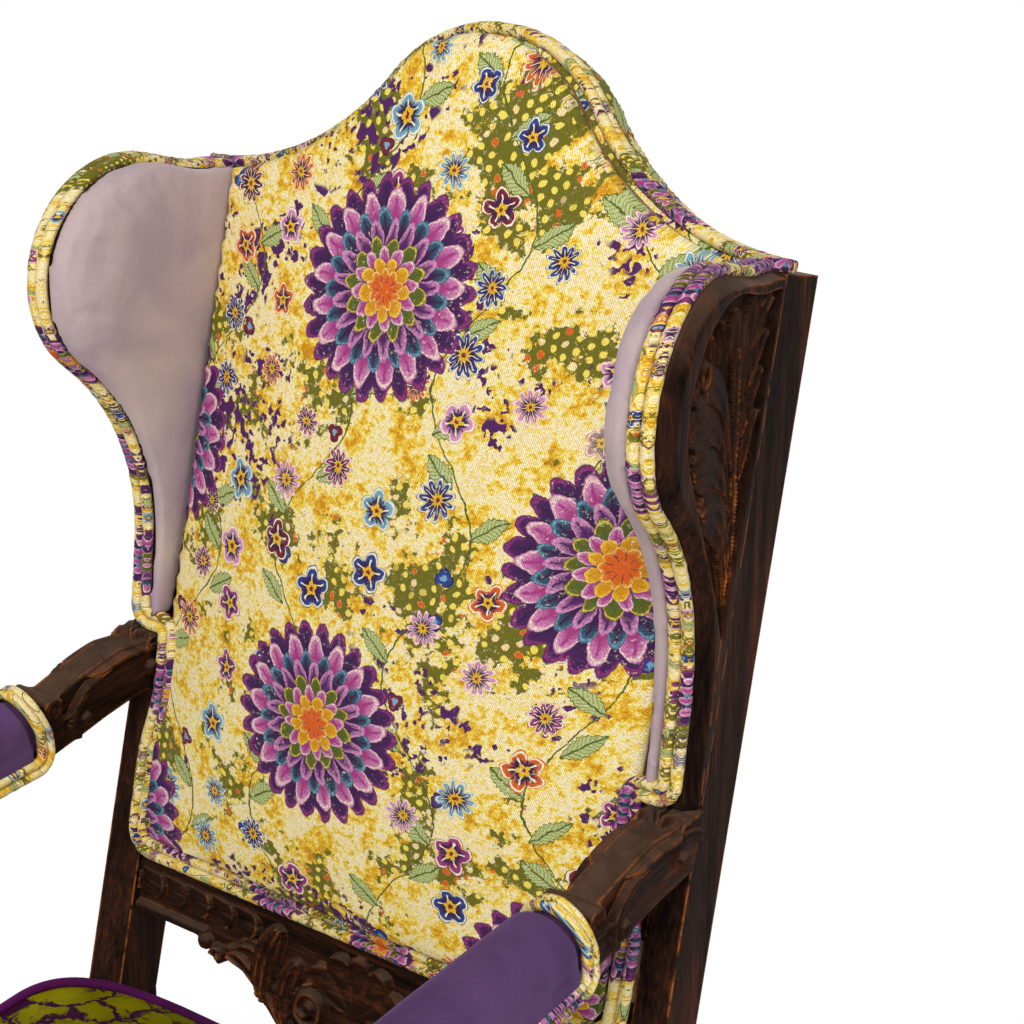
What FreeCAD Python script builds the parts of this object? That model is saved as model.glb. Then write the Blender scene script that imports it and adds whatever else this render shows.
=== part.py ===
import FreeCAD, Part
import math
import os

from FreeCAD import Placement, Rotation, Vector

# High-backed wing chair: a dark oak frame with a stuffed back, wings, arms and seat.
# Millimetres, +Z up, the sitter faces -Y; left and right are as seen from the front, so right is +X.
# The origin is on the floor, under the middle of the chair's box.

# Joints and gaps
CLEARANCE = 0.3
TENON_T = 10.0
TENON_LENGTH = 20.0
TENON_SHOULDER = 8.0

# Back: a raked plane on the stiles' front faces, measured up from the level of the arms
ARM_LEVEL = 730.0
RAKE = 14.05
BACK_HALF = 282.0
STILE_LEAN = 1.2
STILE_W = 37.0
STILE_D = 52.0

# Crest: a round arch that sweeps out to flat shoulders
CREST_TOP = 585.0
CREST_ARCH_R = 120.0
CREST_END_GAP = 2.0
CREST_SHOULDER = 447.0
CREST_RAIL_LOW = 395.0

# Rear legs, below the seat rails
REAR_BLOCK_LOW = 328.0
REAR_BLOCK_TOP = 412.0
REAR_FOOT_BACK = 96.0
REAR_FOOT_W = 34.0
REAR_FOOT_D = 42.0

# Wings: board outline in its own plane, forward of the stile and up from arm level
WING_SPLAY = 6.6
WING_T = 31.0
WING_ROUND_N = 91.0
WING_ROUND_V = 348.0
WING_ROUND_R = 93.0
WING_SWEEP_R = 200.0
WING_FOOT_N = 22.0
WING_FOOT_V = 48.0
WING_FOOT_SLOPE = 7.8
WING_SEAT = 40.0
WING_EDGE = 6.0
WING_CHAMFER = 10.0
WING_CHAMFER_RUN = 9.0
WING_BAND = 20.0
WING_SINK = 9.0
WING_SINK_TOP = 427.0
WING_SINK_LOW = 168.0
WING_SINK_REAR_TOP = 2.0
WING_SINK_REAR_LOW = 14.0
WING_BEHIND = 60.0

# Carved leaf in the sunk panel of each wing
LEAF_ROOT_N = 16.0
LEAF_ROOT_V = 205.0
LEAF_LOBES = 5
LEAF_LENGTH = 150.0
LEAF_WIDTH = 15.0
LEAF_TURN_FIRST = 86.0
LEAF_TURN_LAST = 46.0
LEAF_SHORTEN = 0.45
LEAF_BELLY = 0.6
LEAF_STAND = 3.0

# Wing lining and double piping
CORD_R = 5.0
CORD_SINK = 1.5
CORD_FLAT = 2.5
LINING_T = 26.0
LINING_REAR_T = 8.0
LINING_EDGE = 3.0
LINING_ROLL = 15.0

# Apron rail: carved lower rail of the back, down from arm level
APRON_TOP = -158.0
APRON_FILLET_LOW = -184.0
APRON_LOW = -228.0
APRON_T = 24.0
APRON_FILLET_T = 4.0
COIN_R = 12.5
COIN_V = -198.5
COIN_PITCH = 27.0
COIN_COUNT = 5
COIN_LAST_X = 122.0
COIN_T = 4.5
COIN_TILT = 9.0
BEAD_R = 5.5
BEAD_V = -222.5
BEAD_END_X = 166.0
KNOP_R = 8.5
KNOP_X = 167.0
KNUCKLE_R = 9.5
KNUCKLE_X = 149.0
KNOP_CROWN = 0.6
APRON_DROP = -290.0
APRON_DROP_HALF = 46.0
VOLUTE_X = 46.0
VOLUTE_V = -246.0
VOLUTE_R = 18.0
VOLUTE_T = 6.0
VOLUTE_EYE_R = 7.0
SHELL_V = -241.0
SHELL_R = 52.0
SHELL_RIBS = 7
SHELL_RIB_R = 8.5
SHELL_FAN = 150.0
ACANTHUS_TIP_X = 85.0
ACANTHUS_TIP_V = -188.0
ACANTHUS_R = 8.0

# Back pad and its piping
PANEL_LOW = -170.0
PANEL_LAP = 7.4
PANEL_CORNER_R = 24.0
BACK_WELT_TOP = -16.0
PAD_EDGE = 14.0
PAD_CROWN = 46.0
PAD_CREST_CROWN = 20.0
PAD_FOOT_CROWN = 26.0
PAD_DRAW = 3.0
WEBBING_T = 1.6
WEBBING_W = 50.0
WEB_BEARING = 7.0
BACK_WEBS_UP = 4
BACK_WEBS_ACROSS = 5
HESSIAN_T = 1.0
OUTSIDE_T = 5.0

# Arms: side profile, forward of the stile and up from arm level
ARM_W = 45.0
ARM_UNDER = -38.0
ARM_UNDER_REAR = -10.0
ARM_KNUCKLE = 14.0
ARM_HUMP = 35.0
ARM_HUMP_Y = 50.0
ARM_DIP = 15.0
ARM_DIP_Y = 142.0
ARM_SHOULDER_Y = 100.0
ARM_HOLLOW = 16.0
ARM_HOLLOW_Y = 121.0
ARM_UNDER_TURN = 205.0
ARM_PAD_LENGTH = 313.0
ARM_CORE_TOP = 5.0
ARM_CORE_W = 30.0
ARM_FRONT_TOP = 17.0
ARM_FRONT_SAG = 2.0
ARM_SCROLL_Y = 556.0
ARM_SCROLL_R = 32.0
ARM_EYE_R = 11.0
ARM_EYE_T = 4.0
ARM_BOSS_R = 8.0
ARM_BOSS_T = 2.5
ARM_BOSS_REAR_Y = 24.0
ARM_BOSS_REAR = 14.0
ARM_BOSS_FRONT_Y = 96.0
ARM_BOSS_FRONT = -16.0
ARM_PAD_W = 57.0
ARM_PAD_TOP = 41.0
ARM_PAD_SHOULDER = 24.0
ARM_PAD_LOW = -18.0
ARM_PAD_DRAW = 4.0
ARM_PAD_SWELL = 1.0
ARM_PAD_END = 39.0

# Front legs and arm posts, on one axis
LEG_Y = 540.0
LEG_BLOCK = 50.0
LEG_BLOCK_LOW = 326.0
LEG_BLOCK_TOP = 414.0
STRETCHER_BLOCK = 46.0
STRETCHER_BLOCK_LOW = 46.0
STRETCHER_BLOCK_TOP = 106.0
FOOT_R = 25.0
FOOT_FLAT_R = 18.0
FOOT_BELLY = 18.0
NECK_R = 13.0
RING_R = 21.0
RING_H = 18.0
RING_EDGE = 5.0
VASE_R = 22.0
VASE_BELLY = 74.0
POST_VASE_R = 20.0
POST_VASE_BELLY = 97.0
POST_TENON_R = 8.0
POST_TENON_LENGTH = 18.0

# Seat frame
RAIL_LOW = 336.0
RAIL_TOP = 405.0
RAIL_T = 28.0
RAIL_INSET = 5.0
BLOCK_LEG = 60.0
BLOCK_H = 40.0
SCREW_R = 2.2
SCREW_LENGTH = 46.0
SCREW_HEAD_R = 4.5
SCREW_HEAD_T = 2.5
SEAT_WEBS_DEEP = 5
SEAT_WEBS_ACROSS = 5
DUST_T = 0.8

# Seat pad
SEAT_SIDE = 7.0
SEAT_REAR_GAP = 4.0
SEAT_OVERHANG = 24.0
SEAT_CORNER_R = 70.0
SEAT_EDGE = 456.0
SEAT_CROWN = 30.0
SEAT_EDGE_CROWN = 6.0
SEAT_DRAW = 7.0
SEAT_POST_GAP = 3.0
SEAT_PIPING_R = 5.0
SEAT_TONGUE_T = 18.0

# Stretchers
STRETCHER_Z = 76.0
STRETCHER_R = 14.0
STRETCHER_END_R = 10.0
STRETCHER_BULB_R = 18.0
STRETCHER_SWELL = 150.0
REAR_STRETCHER_Z = 150.0

OUT = "parts"


# Placing

sin_rake = math.sin(math.radians(RAKE))
cos_rake = math.cos(math.radians(RAKE))
tan_rake = math.tan(math.radians(RAKE))
tan_lean = math.tan(math.radians(STILE_LEAN))

frame_face = -(2 * WEBBING_T + HESSIAN_T)
piping_w = 4 * CORD_R
piping_h = 2 * CORD_R - CORD_SINK
crest_rail_inset = 2 * CORD_R
crest_rail_t = STILE_D + frame_face
stile_top = CREST_SHOULDER - crest_rail_inset - CLEARANCE

front_reach = -(LEG_Y + LEG_BLOCK / 2 + SEAT_OVERHANG)
rear_reach = (CREST_TOP - crest_rail_inset) * sin_rake + (STILE_D + OUTSIDE_T) * cos_rake
BACK_Y = -(front_reach + rear_reach) / 2

BACK = Placement(Vector(0, BACK_Y, ARM_LEVEL), Rotation(Vector(1, 0, 0), 90 - RAKE))


def stile_outer(v):
    """Half width over the stiles at a height up the raked back."""
    return BACK_HALF - v * tan_lean


def stile_inner(v):
    """Half width between the stiles at a height up the raked back."""
    return stile_outer(v) - STILE_W


def stile_front(z):
    """Y of the stiles' front plane at a height above the floor."""
    return BACK_Y + (z - ARM_LEVEL) * tan_rake


def moved(shape, placement):
    """A copy of the shape carried by the placement."""
    copy = shape.copy()
    copy.Placement = placement.multiply(copy.Placement)
    return copy


def mirrored(shape):
    """The same piece on the other side of the chair."""
    return shape.mirror(Vector(0, 0, 0), Vector(1, 0, 0))


def box(low, high):
    """A box between two corners."""
    size = [b - a for a, b in zip(low, high)]
    return Part.makeBox(size[0], size[1], size[2], Vector(*low))


def joined(shapes):
    """One solid from pieces that overlap."""
    result = shapes[0].fuse(shapes[1:])
    return result.removeSplitter()


# Outlines: a start point, then steps that are (end,) for a line or (middle, end) for an arc

def arc_middle(centre, radius, a, b):
    """The point half way along the shorter arc from a to b."""
    u = (a[0] - centre[0] + b[0] - centre[0], a[1] - centre[1] + b[1] - centre[1])
    length = math.hypot(u[0], u[1])
    return (centre[0] + radius * u[0] / length, centre[1] + radius * u[1] / length)


def flip(point):
    """The point on the other side of the centre line."""
    return (-point[0], point[1])


def both_halves(start, steps):
    """A closed outline from its right half, which starts and ends on the centre line."""
    corners = [start] + [step[-1] for step in steps]
    back = []
    for index in reversed(range(len(steps))):
        middle = tuple(flip(point) for point in steps[index][:-1])
        back.append(middle + (flip(corners[index]),))
    return steps + back


def path(start, steps, lift):
    """A wire along the steps, raised into space by lift."""
    edges = []
    here = start
    for step in steps:
        if len(step) == 1:
            edges.append(Part.LineSegment(lift(here), lift(step[0])).toShape())
        else:
            edges.append(Part.Arc(lift(here), lift(step[0]), lift(step[1])).toShape())
        here = step[-1]
    return Part.Wire(edges)


def flat(height):
    """Lifts plan points to a level."""
    return lambda point: Vector(point[0], point[1], height)


def prism(start, steps, low, high):
    """A closed outline raised from one level to another."""
    face = Part.Face(path(start, steps, flat(low)))
    return face.extrude(Vector(0, 0, high - low))


def polygon(points, low, high):
    """A prism on straight sides."""
    return prism(points[0], [(point,) for point in points[1:]] + [(points[0],)], low, high)


def arc_turn(start, middle, end):
    """Centre and signed angle in degrees of a plan arc through three points."""
    centre = Part.Arc(flat(0)(start), flat(0)(middle), flat(0)(end)).toShape().Curve.Center
    a = flat(0)(start) - centre
    b = flat(0)(end) - centre
    angle = math.degrees(a.getAngle(b))
    return centre, math.copysign(angle, a.cross(b).z)


def swept(profile, start, steps):
    """A solid from a profile face that is carried along the lines and arcs of a plan outline."""
    upright = Vector(0, 0, 1)
    pieces = []
    here = start
    for step in steps:
        if len(step) == 1:
            travel = flat(0)(step[0]) - flat(0)(here)
            pieces.append(profile.extrude(travel))
            profile = profile.translated(travel)
        else:
            centre, angle = arc_turn(here, *step)
            pieces.append(profile.revolve(centre, upright, angle))
            profile = profile.rotated(centre, upright, angle)
        here = step[-1]
    return joined(pieces)


# Rear stiles and legs

def stile_section(v):
    x = stile_outer(v)
    inner = stile_inner(v)
    return [Vector(inner, v, 0), Vector(x, v, 0), Vector(x, v, -STILE_D), Vector(inner, v, -STILE_D)]


def level_section(x_out, width, y_front, depth, z):
    return [
        Vector(x_out - width, y_front, z),
        Vector(x_out, y_front, z),
        Vector(x_out, y_front + depth, z),
        Vector(x_out - width, y_front + depth, z),
    ]


def ruled(sections):
    wires = [Part.makePolygon(section + [section[0]]) for section in sections]
    return Part.makeLoft(wires, True, True)


block_v = (REAR_BLOCK_TOP - ARM_LEVEL) / cos_rake
block_outer = stile_outer(block_v)
block_front = stile_front(REAR_BLOCK_TOP)
block_depth = STILE_D / cos_rake
leg_x = block_outer - LEG_BLOCK / 2
leg_y = BACK_Y - LEG_Y


def rear_stile():
    """The raked post, its square block at the seat rails and the splayed rear leg, in one piece."""
    below = block_v - STILE_D
    post = moved(ruled([stile_section(below), stile_section(stile_top)]), BACK)
    keep = box((0, -ARM_LEVEL, REAR_BLOCK_TOP), (2 * BACK_HALF, ARM_LEVEL, 2 * ARM_LEVEL))
    foot_front = block_front + REAR_FOOT_BACK
    leg = ruled([
        level_section(block_outer, REAR_FOOT_W, foot_front, REAR_FOOT_D, 0),
        level_section(block_outer, STILE_W, block_front, block_depth, REAR_BLOCK_LOW),
        level_section(block_outer, STILE_W, block_front, block_depth, REAR_BLOCK_TOP),
    ])
    return joined([post.common(keep), leg]).cut(moved(stile_rebate(), BACK))


def stile_rebate():
    """The shallow step along the stile's inner front edge that takes the ends of the webs."""
    corners = []
    for v in (APRON_TOP, stile_top):
        inner = stile_inner(v)
        corners.append([
            Vector(inner - STILE_W, v, frame_face),
            Vector(inner + WEB_BEARING + CLEARANCE, v, frame_face),
            Vector(inner + WEB_BEARING + CLEARANCE, v, STILE_W),
            Vector(inner - STILE_W, v, STILE_W),
        ])
    return ruled(corners)


# Crest and panel outline, on the raked plane

crest_end = stile_outer(stile_top) - CREST_END_GAP
crest_turn = 2 * math.atan2(CREST_TOP - CREST_SHOULDER, crest_end)
turn_sin = math.sin(crest_turn)
turn_cos = math.cos(crest_turn)
arch_centre = (0, CREST_TOP - CREST_ARCH_R)
sweep_r = crest_end / turn_sin - CREST_ARCH_R
sweep_centre = (crest_end, CREST_SHOULDER + sweep_r)


def crest_height(x, inset):
    """Height of the sweeping shoulder of the crest line, drawn in by inset."""
    return sweep_centre[1] - math.sqrt((sweep_r + inset) ** 2 - (sweep_centre[0] - x) ** 2)


def crest_steps(end_x, inset):
    """The right half of the crest line, from the apex out to end_x."""
    arch = CREST_ARCH_R - inset
    sweep = sweep_r + inset
    apex = (0, CREST_TOP - inset)
    turn = (arch * turn_sin, arch_centre[1] + arch * turn_cos)
    end = (end_x, crest_height(end_x, inset))
    return apex, [
        (arc_middle(arch_centre, arch, apex, turn), turn),
        (arc_middle(sweep_centre, sweep, turn, end), end),
    ]


def crest_rail():
    """The arched top rail between the stiles, with a tenon at each end."""
    apex, steps = crest_steps(stile_inner(CREST_SHOULDER), crest_rail_inset)
    steps = steps + [((stile_inner(CREST_RAIL_LOW), CREST_RAIL_LOW),), ((0, CREST_RAIL_LOW),)]
    rail = prism(apex, both_halves(apex, steps), frame_face - crest_rail_t, frame_face)
    tenon = crest_tenon(0)
    return moved(joined([rail, tenon, mirrored(tenon)]), BACK)


def crest_tenon(grow):
    low = CREST_RAIL_LOW + TENON_SHOULDER
    high = stile_top - TENON_SHOULDER
    inner = stile_inner(CREST_RAIL_LOW)
    middle = frame_face - crest_rail_t / 2
    return box(
        (inner - TENON_LENGTH, low - grow, middle - TENON_T / 2 - grow),
        (inner + TENON_LENGTH + grow, high + grow, middle + TENON_T / 2 + grow),
    )


# Apron rail

apron_front = frame_face - APRON_FILLET_T
apron_rear = apron_front - APRON_T


def apron_tenon(grow):
    inner = stile_inner(APRON_TOP)
    middle = (apron_front + apron_rear) / 2
    return box(
        (inner - TENON_LENGTH, APRON_LOW + TENON_SHOULDER - grow, middle - TENON_T / 2 - grow),
        (inner + TENON_LENGTH + grow, APRON_TOP - TENON_SHOULDER + grow, middle + TENON_T / 2 + grow),
    )


def apron_board():
    """The rail's sawn shape: straight at the stiles, with a drop in the middle."""
    knuckle = (KNUCKLE_X - KNUCKLE_R, APRON_LOW - KNUCKLE_R / 2)
    hollow = ((KNUCKLE_X + APRON_DROP_HALF) / 2 + KNUCKLE_R, (APRON_LOW + APRON_DROP) / 2 + KNUCKLE_R)
    drop = (APRON_DROP_HALF, APRON_DROP + KNUCKLE_R)
    start = (0, APRON_TOP)
    steps = [
        ((stile_inner(APRON_TOP), APRON_TOP),),
        ((stile_inner(APRON_LOW), APRON_LOW),),
        ((KNUCKLE_X, APRON_LOW),),
        (knuckle,),
        (hollow, drop),
        ((APRON_DROP_HALF / 2, APRON_DROP), (0, APRON_DROP)),
    ]
    return prism(start, both_halves(start, steps), apron_rear, apron_front)


def half_round(x, v, radius, length):
    """A bead along X, half sunk in the rail's face."""
    return Part.makeCylinder(radius, length, Vector(x, v, apron_front), Vector(1, 0, 0))


def coin(x):
    """A flat disc that leans on the next one, like a fallen coin."""
    lean = Vector(math.sin(math.radians(COIN_TILT)), 0, math.cos(math.radians(COIN_TILT)))
    base = Vector(x, COIN_V, apron_front) - lean * COIN_T
    return Part.makeCylinder(COIN_R, 2 * COIN_T, base, lean)


def knop(x, v, radius):
    """A round button that rises from the middle of the rail and narrows towards its top."""
    base = Vector(x, v, (apron_front + apron_rear) / 2)
    stem = Part.makeCylinder(radius, APRON_T / 2, base)
    face = Vector(x, v, apron_front)
    return stem.fuse(Part.makeCone(radius, radius * KNOP_CROWN, radius * KNOP_CROWN, face))


def rib(a, b, radius_a, radius_b):
    """A tapering round rib between two points of the rail's face."""
    start = Vector(a[0], a[1], apron_front)
    along = Vector(b[0], b[1], apron_front) - start
    return Part.makeCone(radius_a, radius_b, along.Length, start, along)


def apron_carving():
    """The right half's coins, bead, knops, leaf and volute; all stand proud of the sawn face."""
    forms = [coin(COIN_LAST_X + index * COIN_PITCH) for index in range(COIN_COUNT - 1)]
    forms.append(half_round(BEAD_END_X, BEAD_V, BEAD_R, stile_inner(BEAD_V) - BEAD_END_X))
    forms.append(knop(KNOP_X, APRON_LOW, KNOP_R))
    forms.append(knop(KNUCKLE_X, APRON_LOW - KNUCKLE_R, KNUCKLE_R))
    root = ((KNUCKLE_X + VOLUTE_X) / 2, (APRON_LOW + APRON_DROP) / 2 + KNUCKLE_R)
    forms.append(rib((KNUCKLE_X, APRON_LOW), root, KNOP_R, ACANTHUS_R))
    forms.append(rib(root, (ACANTHUS_TIP_X, ACANTHUS_TIP_V), ACANTHUS_R, ACANTHUS_R / 2))
    volute = Vector(VOLUTE_X, VOLUTE_V, apron_rear)
    forms.append(Part.makeCylinder(VOLUTE_R, APRON_T + VOLUTE_T, volute))
    forms.append(knop(VOLUTE_X, VOLUTE_V, VOLUTE_EYE_R + VOLUTE_T))
    return forms


def shell():
    """A fan of ribs that rises from the middle of the drop."""
    ribs = []
    for index in range(SHELL_RIBS):
        turn = math.radians(90 - SHELL_FAN / 2 + SHELL_FAN * index / (SHELL_RIBS - 1))
        reach = SHELL_R - SHELL_RIB_R
        swell = (reach * math.cos(turn), SHELL_V + reach * math.sin(turn))
        tip = (SHELL_R * math.cos(turn), SHELL_V + SHELL_R * math.sin(turn))
        ribs.append(rib((0, SHELL_V), swell, SHELL_RIB_R / 4, SHELL_RIB_R))
        ribs.append(rib(swell, tip, SHELL_RIB_R, SHELL_RIB_R * KNOP_CROWN))
    return ribs


def apron_rail():
    board = apron_board()
    fillet = box(
        (-stile_inner(APRON_TOP), APRON_FILLET_LOW, apron_front),
        (stile_inner(APRON_TOP), APRON_TOP, apron_front + APRON_FILLET_T),
    )
    right = apron_carving()
    carving = right + [mirrored(form) for form in right] + shell()
    behind = box(
        (-BACK_HALF, APRON_DROP * 2, apron_rear),
        (BACK_HALF, APRON_TOP, apron_rear + STILE_D),
    )
    between = polygon(
        [
            (-stile_inner(APRON_TOP), APRON_TOP),
            (stile_inner(APRON_TOP), APRON_TOP),
            (stile_inner(APRON_DROP), APRON_DROP * 2),
            (-stile_inner(APRON_DROP), APRON_DROP * 2),
        ],
        apron_rear,
        apron_rear + STILE_D,
    )
    rail = joined([board, fillet] + carving).common(behind).common(between)
    tenon = apron_tenon(0)
    return moved(joined([rail, tenon, mirrored(tenon)]), BACK)


# Wings

foot_dir = (math.sin(math.radians(WING_FOOT_SLOPE)), math.cos(math.radians(WING_FOOT_SLOPE)))
foot_normal = (foot_dir[1], -foot_dir[0])
round_centre = (WING_ROUND_N, WING_ROUND_V)
reach = (
    WING_FOOT_N + WING_SWEEP_R * foot_normal[0] - round_centre[0],
    WING_FOOT_V + WING_SWEEP_R * foot_normal[1] - round_centre[1],
)
along = reach[0] * foot_dir[0] + reach[1] * foot_dir[1]
span = (WING_ROUND_R + WING_SWEEP_R) ** 2 - reach[0] ** 2 - reach[1] ** 2
foot_run = -along - math.sqrt(along ** 2 + span)
hollow_centre = (
    round_centre[0] + reach[0] + foot_run * foot_dir[0],
    round_centre[1] + reach[1] + foot_run * foot_dir[1],
)

wing_up = Vector(-tan_lean, sin_rake, cos_rake).normalize()
splay = math.radians(WING_SPLAY)
wing_forward = Vector(math.sin(splay), -cos_rake * math.cos(splay), sin_rake * math.cos(splay))
wing_forward = (wing_forward - wing_up * wing_forward.dot(wing_up)).normalize()
wing_inward = wing_forward.cross(wing_up)
WING = Placement(
    Vector(BACK_HALF, BACK_Y, ARM_LEVEL),
    Rotation(wing_forward, wing_up, wing_inward, "XYZ"),
)


def wing_edge(inset, start_n):
    """The wing's edge, drawn in by inset: along the top, round the ear and down to the arm."""
    big = WING_ROUND_R - inset
    sweep = WING_SWEEP_R + inset
    gap = (hollow_centre[0] - round_centre[0], hollow_centre[1] - round_centre[1])
    length = math.hypot(gap[0], gap[1])
    start = (start_n, round_centre[1] + big)
    top = (round_centre[0], round_centre[1] + big)
    turn = (round_centre[0] + big * gap[0] / length, round_centre[1] + big * gap[1] / length)
    low = (hollow_centre[0] - sweep * foot_normal[0], hollow_centre[1] - sweep * foot_normal[1])
    foot = (low[0] - foot_dir[0] * low[1] / foot_dir[1], 0)
    return start, [
        (top,),
        (arc_middle(round_centre, big, top, turn), turn),
        (arc_middle(hollow_centre, sweep, turn, low), low),
        (foot,),
    ]


def wing_outline(inset):
    """The closed outline of a wing piece, which runs on behind the stile's front."""
    start, steps = wing_edge(inset, -WING_BEHIND)
    return start, steps + [((-WING_BEHIND, 0),), (start,)]


def trimmed_wing(shape):
    """Puts a wing piece in place, cut off at the stile's front and the top of the arm."""
    keep = moved(box((0, -ARM_LEVEL, 0), (2 * BACK_HALF, CREST_TOP, BACK_HALF)), BACK)
    above = box((0, -ARM_LEVEL, ARM_LEVEL + WING_SEAT), (2 * BACK_HALF, ARM_LEVEL, 2 * ARM_LEVEL))
    return moved(shape, WING).common(keep).common(above)


def leaf_lobe(index):
    """One lobe of the carved leaf: a lens that points up and forward from the root."""
    share = index / (LEAF_LOBES - 1)
    turn = math.radians(LEAF_TURN_FIRST + (LEAF_TURN_LAST - LEAF_TURN_FIRST) * share)
    length = LEAF_LENGTH * (1 - LEAF_SHORTEN * (1 - share) * share * 2)
    direction = (math.cos(turn), math.sin(turn))
    side = (-direction[1], direction[0])
    root = (LEAF_ROOT_N, LEAF_ROOT_V)
    tip = (root[0] + length * direction[0], root[1] + length * direction[1])
    belly = (root[0] + LEAF_BELLY * length * direction[0], root[1] + LEAF_BELLY * length * direction[1])
    left = (belly[0] + LEAF_WIDTH * side[0], belly[1] + LEAF_WIDTH * side[1])
    right = (belly[0] - LEAF_WIDTH * side[0], belly[1] - LEAF_WIDTH * side[1])
    return prism(root, [(left, tip), (right, root)], WING_SINK - LEAF_STAND, WING_SINK)


def wing_board():
    """The board with a bevelled outer edge and a sunk panel that holds a carved leaf."""
    outer = path(*wing_outline(WING_EDGE + WING_CHAMFER_RUN), flat(0))
    middle = path(*wing_outline(WING_EDGE), flat(WING_CHAMFER))
    bevel = Part.makeLoft([outer, middle], True, True)
    board = joined([bevel, prism(*wing_outline(WING_EDGE), WING_CHAMFER, WING_T)])
    sunk_inset = WING_EDGE + WING_CHAMFER_RUN + WING_BAND
    sunk = prism(*wing_outline(sunk_inset), 0, WING_SINK)
    window = polygon(
        [
            (WING_SINK_REAR_TOP, WING_SINK_TOP),
            (WING_ROUND_N + WING_ROUND_R, WING_SINK_TOP),
            (WING_ROUND_N + WING_ROUND_R, WING_SINK_LOW),
            (WING_SINK_REAR_LOW, WING_SINK_LOW),
        ],
        0,
        WING_SINK,
    )
    sunk = sunk.common(window)
    lobes = [leaf_lobe(index).common(sunk) for index in range(LEAF_LOBES)]
    return trimmed_wing(joined([board.cut(sunk)] + lobes))


def double_cord(width_start):
    """Profile of two cords side by side, across the board's thickness and out from its edge."""
    start = (width_start, CLEARANCE)
    waist = (width_start + 2 * CORD_R, CORD_R)
    end = (width_start + 4 * CORD_R, CLEARANCE)
    steps = []
    for middle, low in ((width_start + CORD_R, waist), (width_start + 3 * CORD_R, end)):
        steps += [((middle - CORD_FLAT, piping_h),), ((middle + CORD_FLAT, piping_h),), (low,)]
    return start, steps + [(start,)]


def wing_welt():
    """Double piping on the wing's edge, inside the bevel."""
    start, steps = wing_edge(WING_EDGE, -WING_BEHIND)
    profile = path(*double_cord(WING_CHAMFER + CLEARANCE),
                   lambda point: Vector(start[0], start[1] + point[1], point[0]))
    return trimmed_wing(swept(Part.Face(profile), start, steps))


def lining_half(v):
    """Half width between the wing linings at the stiles."""
    return stile_outer(v) - WING_T - LINING_REAR_T - 2 * CLEARANCE


def wing_pad():
    """The stuffed lining inside the board: its face runs straight forward while the board splays out."""
    low = WING_T + CLEARANCE
    levels = [
        (LINING_EDGE, low),
        (LINING_EDGE, low + LINING_T - LINING_ROLL),
        (LINING_EDGE + LINING_ROLL / 4, low + LINING_T - LINING_ROLL / 2),
        (LINING_EDGE + LINING_ROLL, low + LINING_T),
    ]
    wires = [path(*wing_outline(inset), flat(height)) for inset, height in levels]
    beside = polygon(
        [
            (lining_half(0), 0),
            (2 * BACK_HALF, 0),
            (2 * BACK_HALF, CREST_TOP),
            (lining_half(CREST_TOP), CREST_TOP),
        ],
        0,
        BACK_HALF,
    )
    return trimmed_wing(Part.makeLoft(wires, True, True)).common(moved(beside, BACK))


# Back upholstery

panel_half = stile_inner(PANEL_LOW) + PANEL_LAP


def panel_outline(inset):
    """The inside back within its piping: arched top, straight sides, round lower corners."""
    top = lining_half(CREST_SHOULDER) - inset
    half = panel_half - piping_w - inset
    low = PANEL_LOW + piping_w + inset
    apex, crest = crest_steps(top, crest_rail_inset + CLEARANCE + inset)
    corner = (half - PANEL_CORNER_R / 2, low + PANEL_CORNER_R / 2)
    right = (half, corner[1])
    bottom = (corner[0], low)
    steps = crest + [
        (right,),
        (arc_middle(corner, PANEL_CORNER_R / 2, right, bottom), bottom),
        ((0, low),),
    ]
    return apex, both_halves(apex, steps)


def crown_section(half, base, edge, crown):
    """A cross-section of a stuffed form: flat base, short sides, arched top."""
    start = (-half, base)
    return start, [((half, base),), ((half, edge),), ((0, crown), (-half, edge)), (start,)]


def back_pad():
    """The stuffing under the printed cover, crowned both ways and drawn in at its base."""
    middle = (PANEL_LOW + CREST_SHOULDER) / 2
    levels = [
        (PANEL_LOW, PAD_FOOT_CROWN),
        ((PANEL_LOW + middle) / 2, PAD_CROWN),
        ((middle + CREST_SHOULDER) / 2, PAD_CROWN),
        (CREST_TOP, PAD_CREST_CROWN),
    ]
    wires = []
    for v, crown in levels:
        start, steps = crown_section(panel_half, CLEARANCE, PAD_EDGE, crown)
        wires.append(path(start, steps, lambda point, v=v: Vector(point[0], v, point[1])))
    crowned = Part.makeLoft(wires, True, False)
    sides = [(PAD_DRAW, CLEARANCE), (0, PAD_EDGE), (0, PAD_CROWN * 2)]
    outline = Part.makeLoft([path(*panel_outline(inset), flat(n)) for inset, n in sides], True, True)
    return moved(crowned.common(outline), BACK)


def back_webbing():
    """Webs up and across, tacked to the frame; the ones across lie over the ones up."""
    strips = []
    inner = panel_half - piping_w
    low = APRON_TOP - WEB_BEARING
    high = CREST_RAIL_LOW + TENON_LENGTH
    for index in range(BACK_WEBS_UP):
        x = inner * (2 * (index + 0.5) / BACK_WEBS_UP - 1)
        strips.append(box(
            (x - WEBBING_W / 2, low, frame_face),
            (x + WEBBING_W / 2, high, frame_face + WEBBING_T),
        ))
    for index in range(BACK_WEBS_ACROSS):
        v = APRON_TOP + (CREST_RAIL_LOW - APRON_TOP) * (index + 0.5) / BACK_WEBS_ACROSS
        half = stile_inner(v + WEBBING_W / 2) + WEB_BEARING
        strips.append(box(
            (-half, v - WEBBING_W / 2, frame_face + WEBBING_T),
            (half, v + WEBBING_W / 2, frame_face + 2 * WEBBING_T),
        ))
    return moved(Part.makeCompound(strips), BACK)


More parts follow.
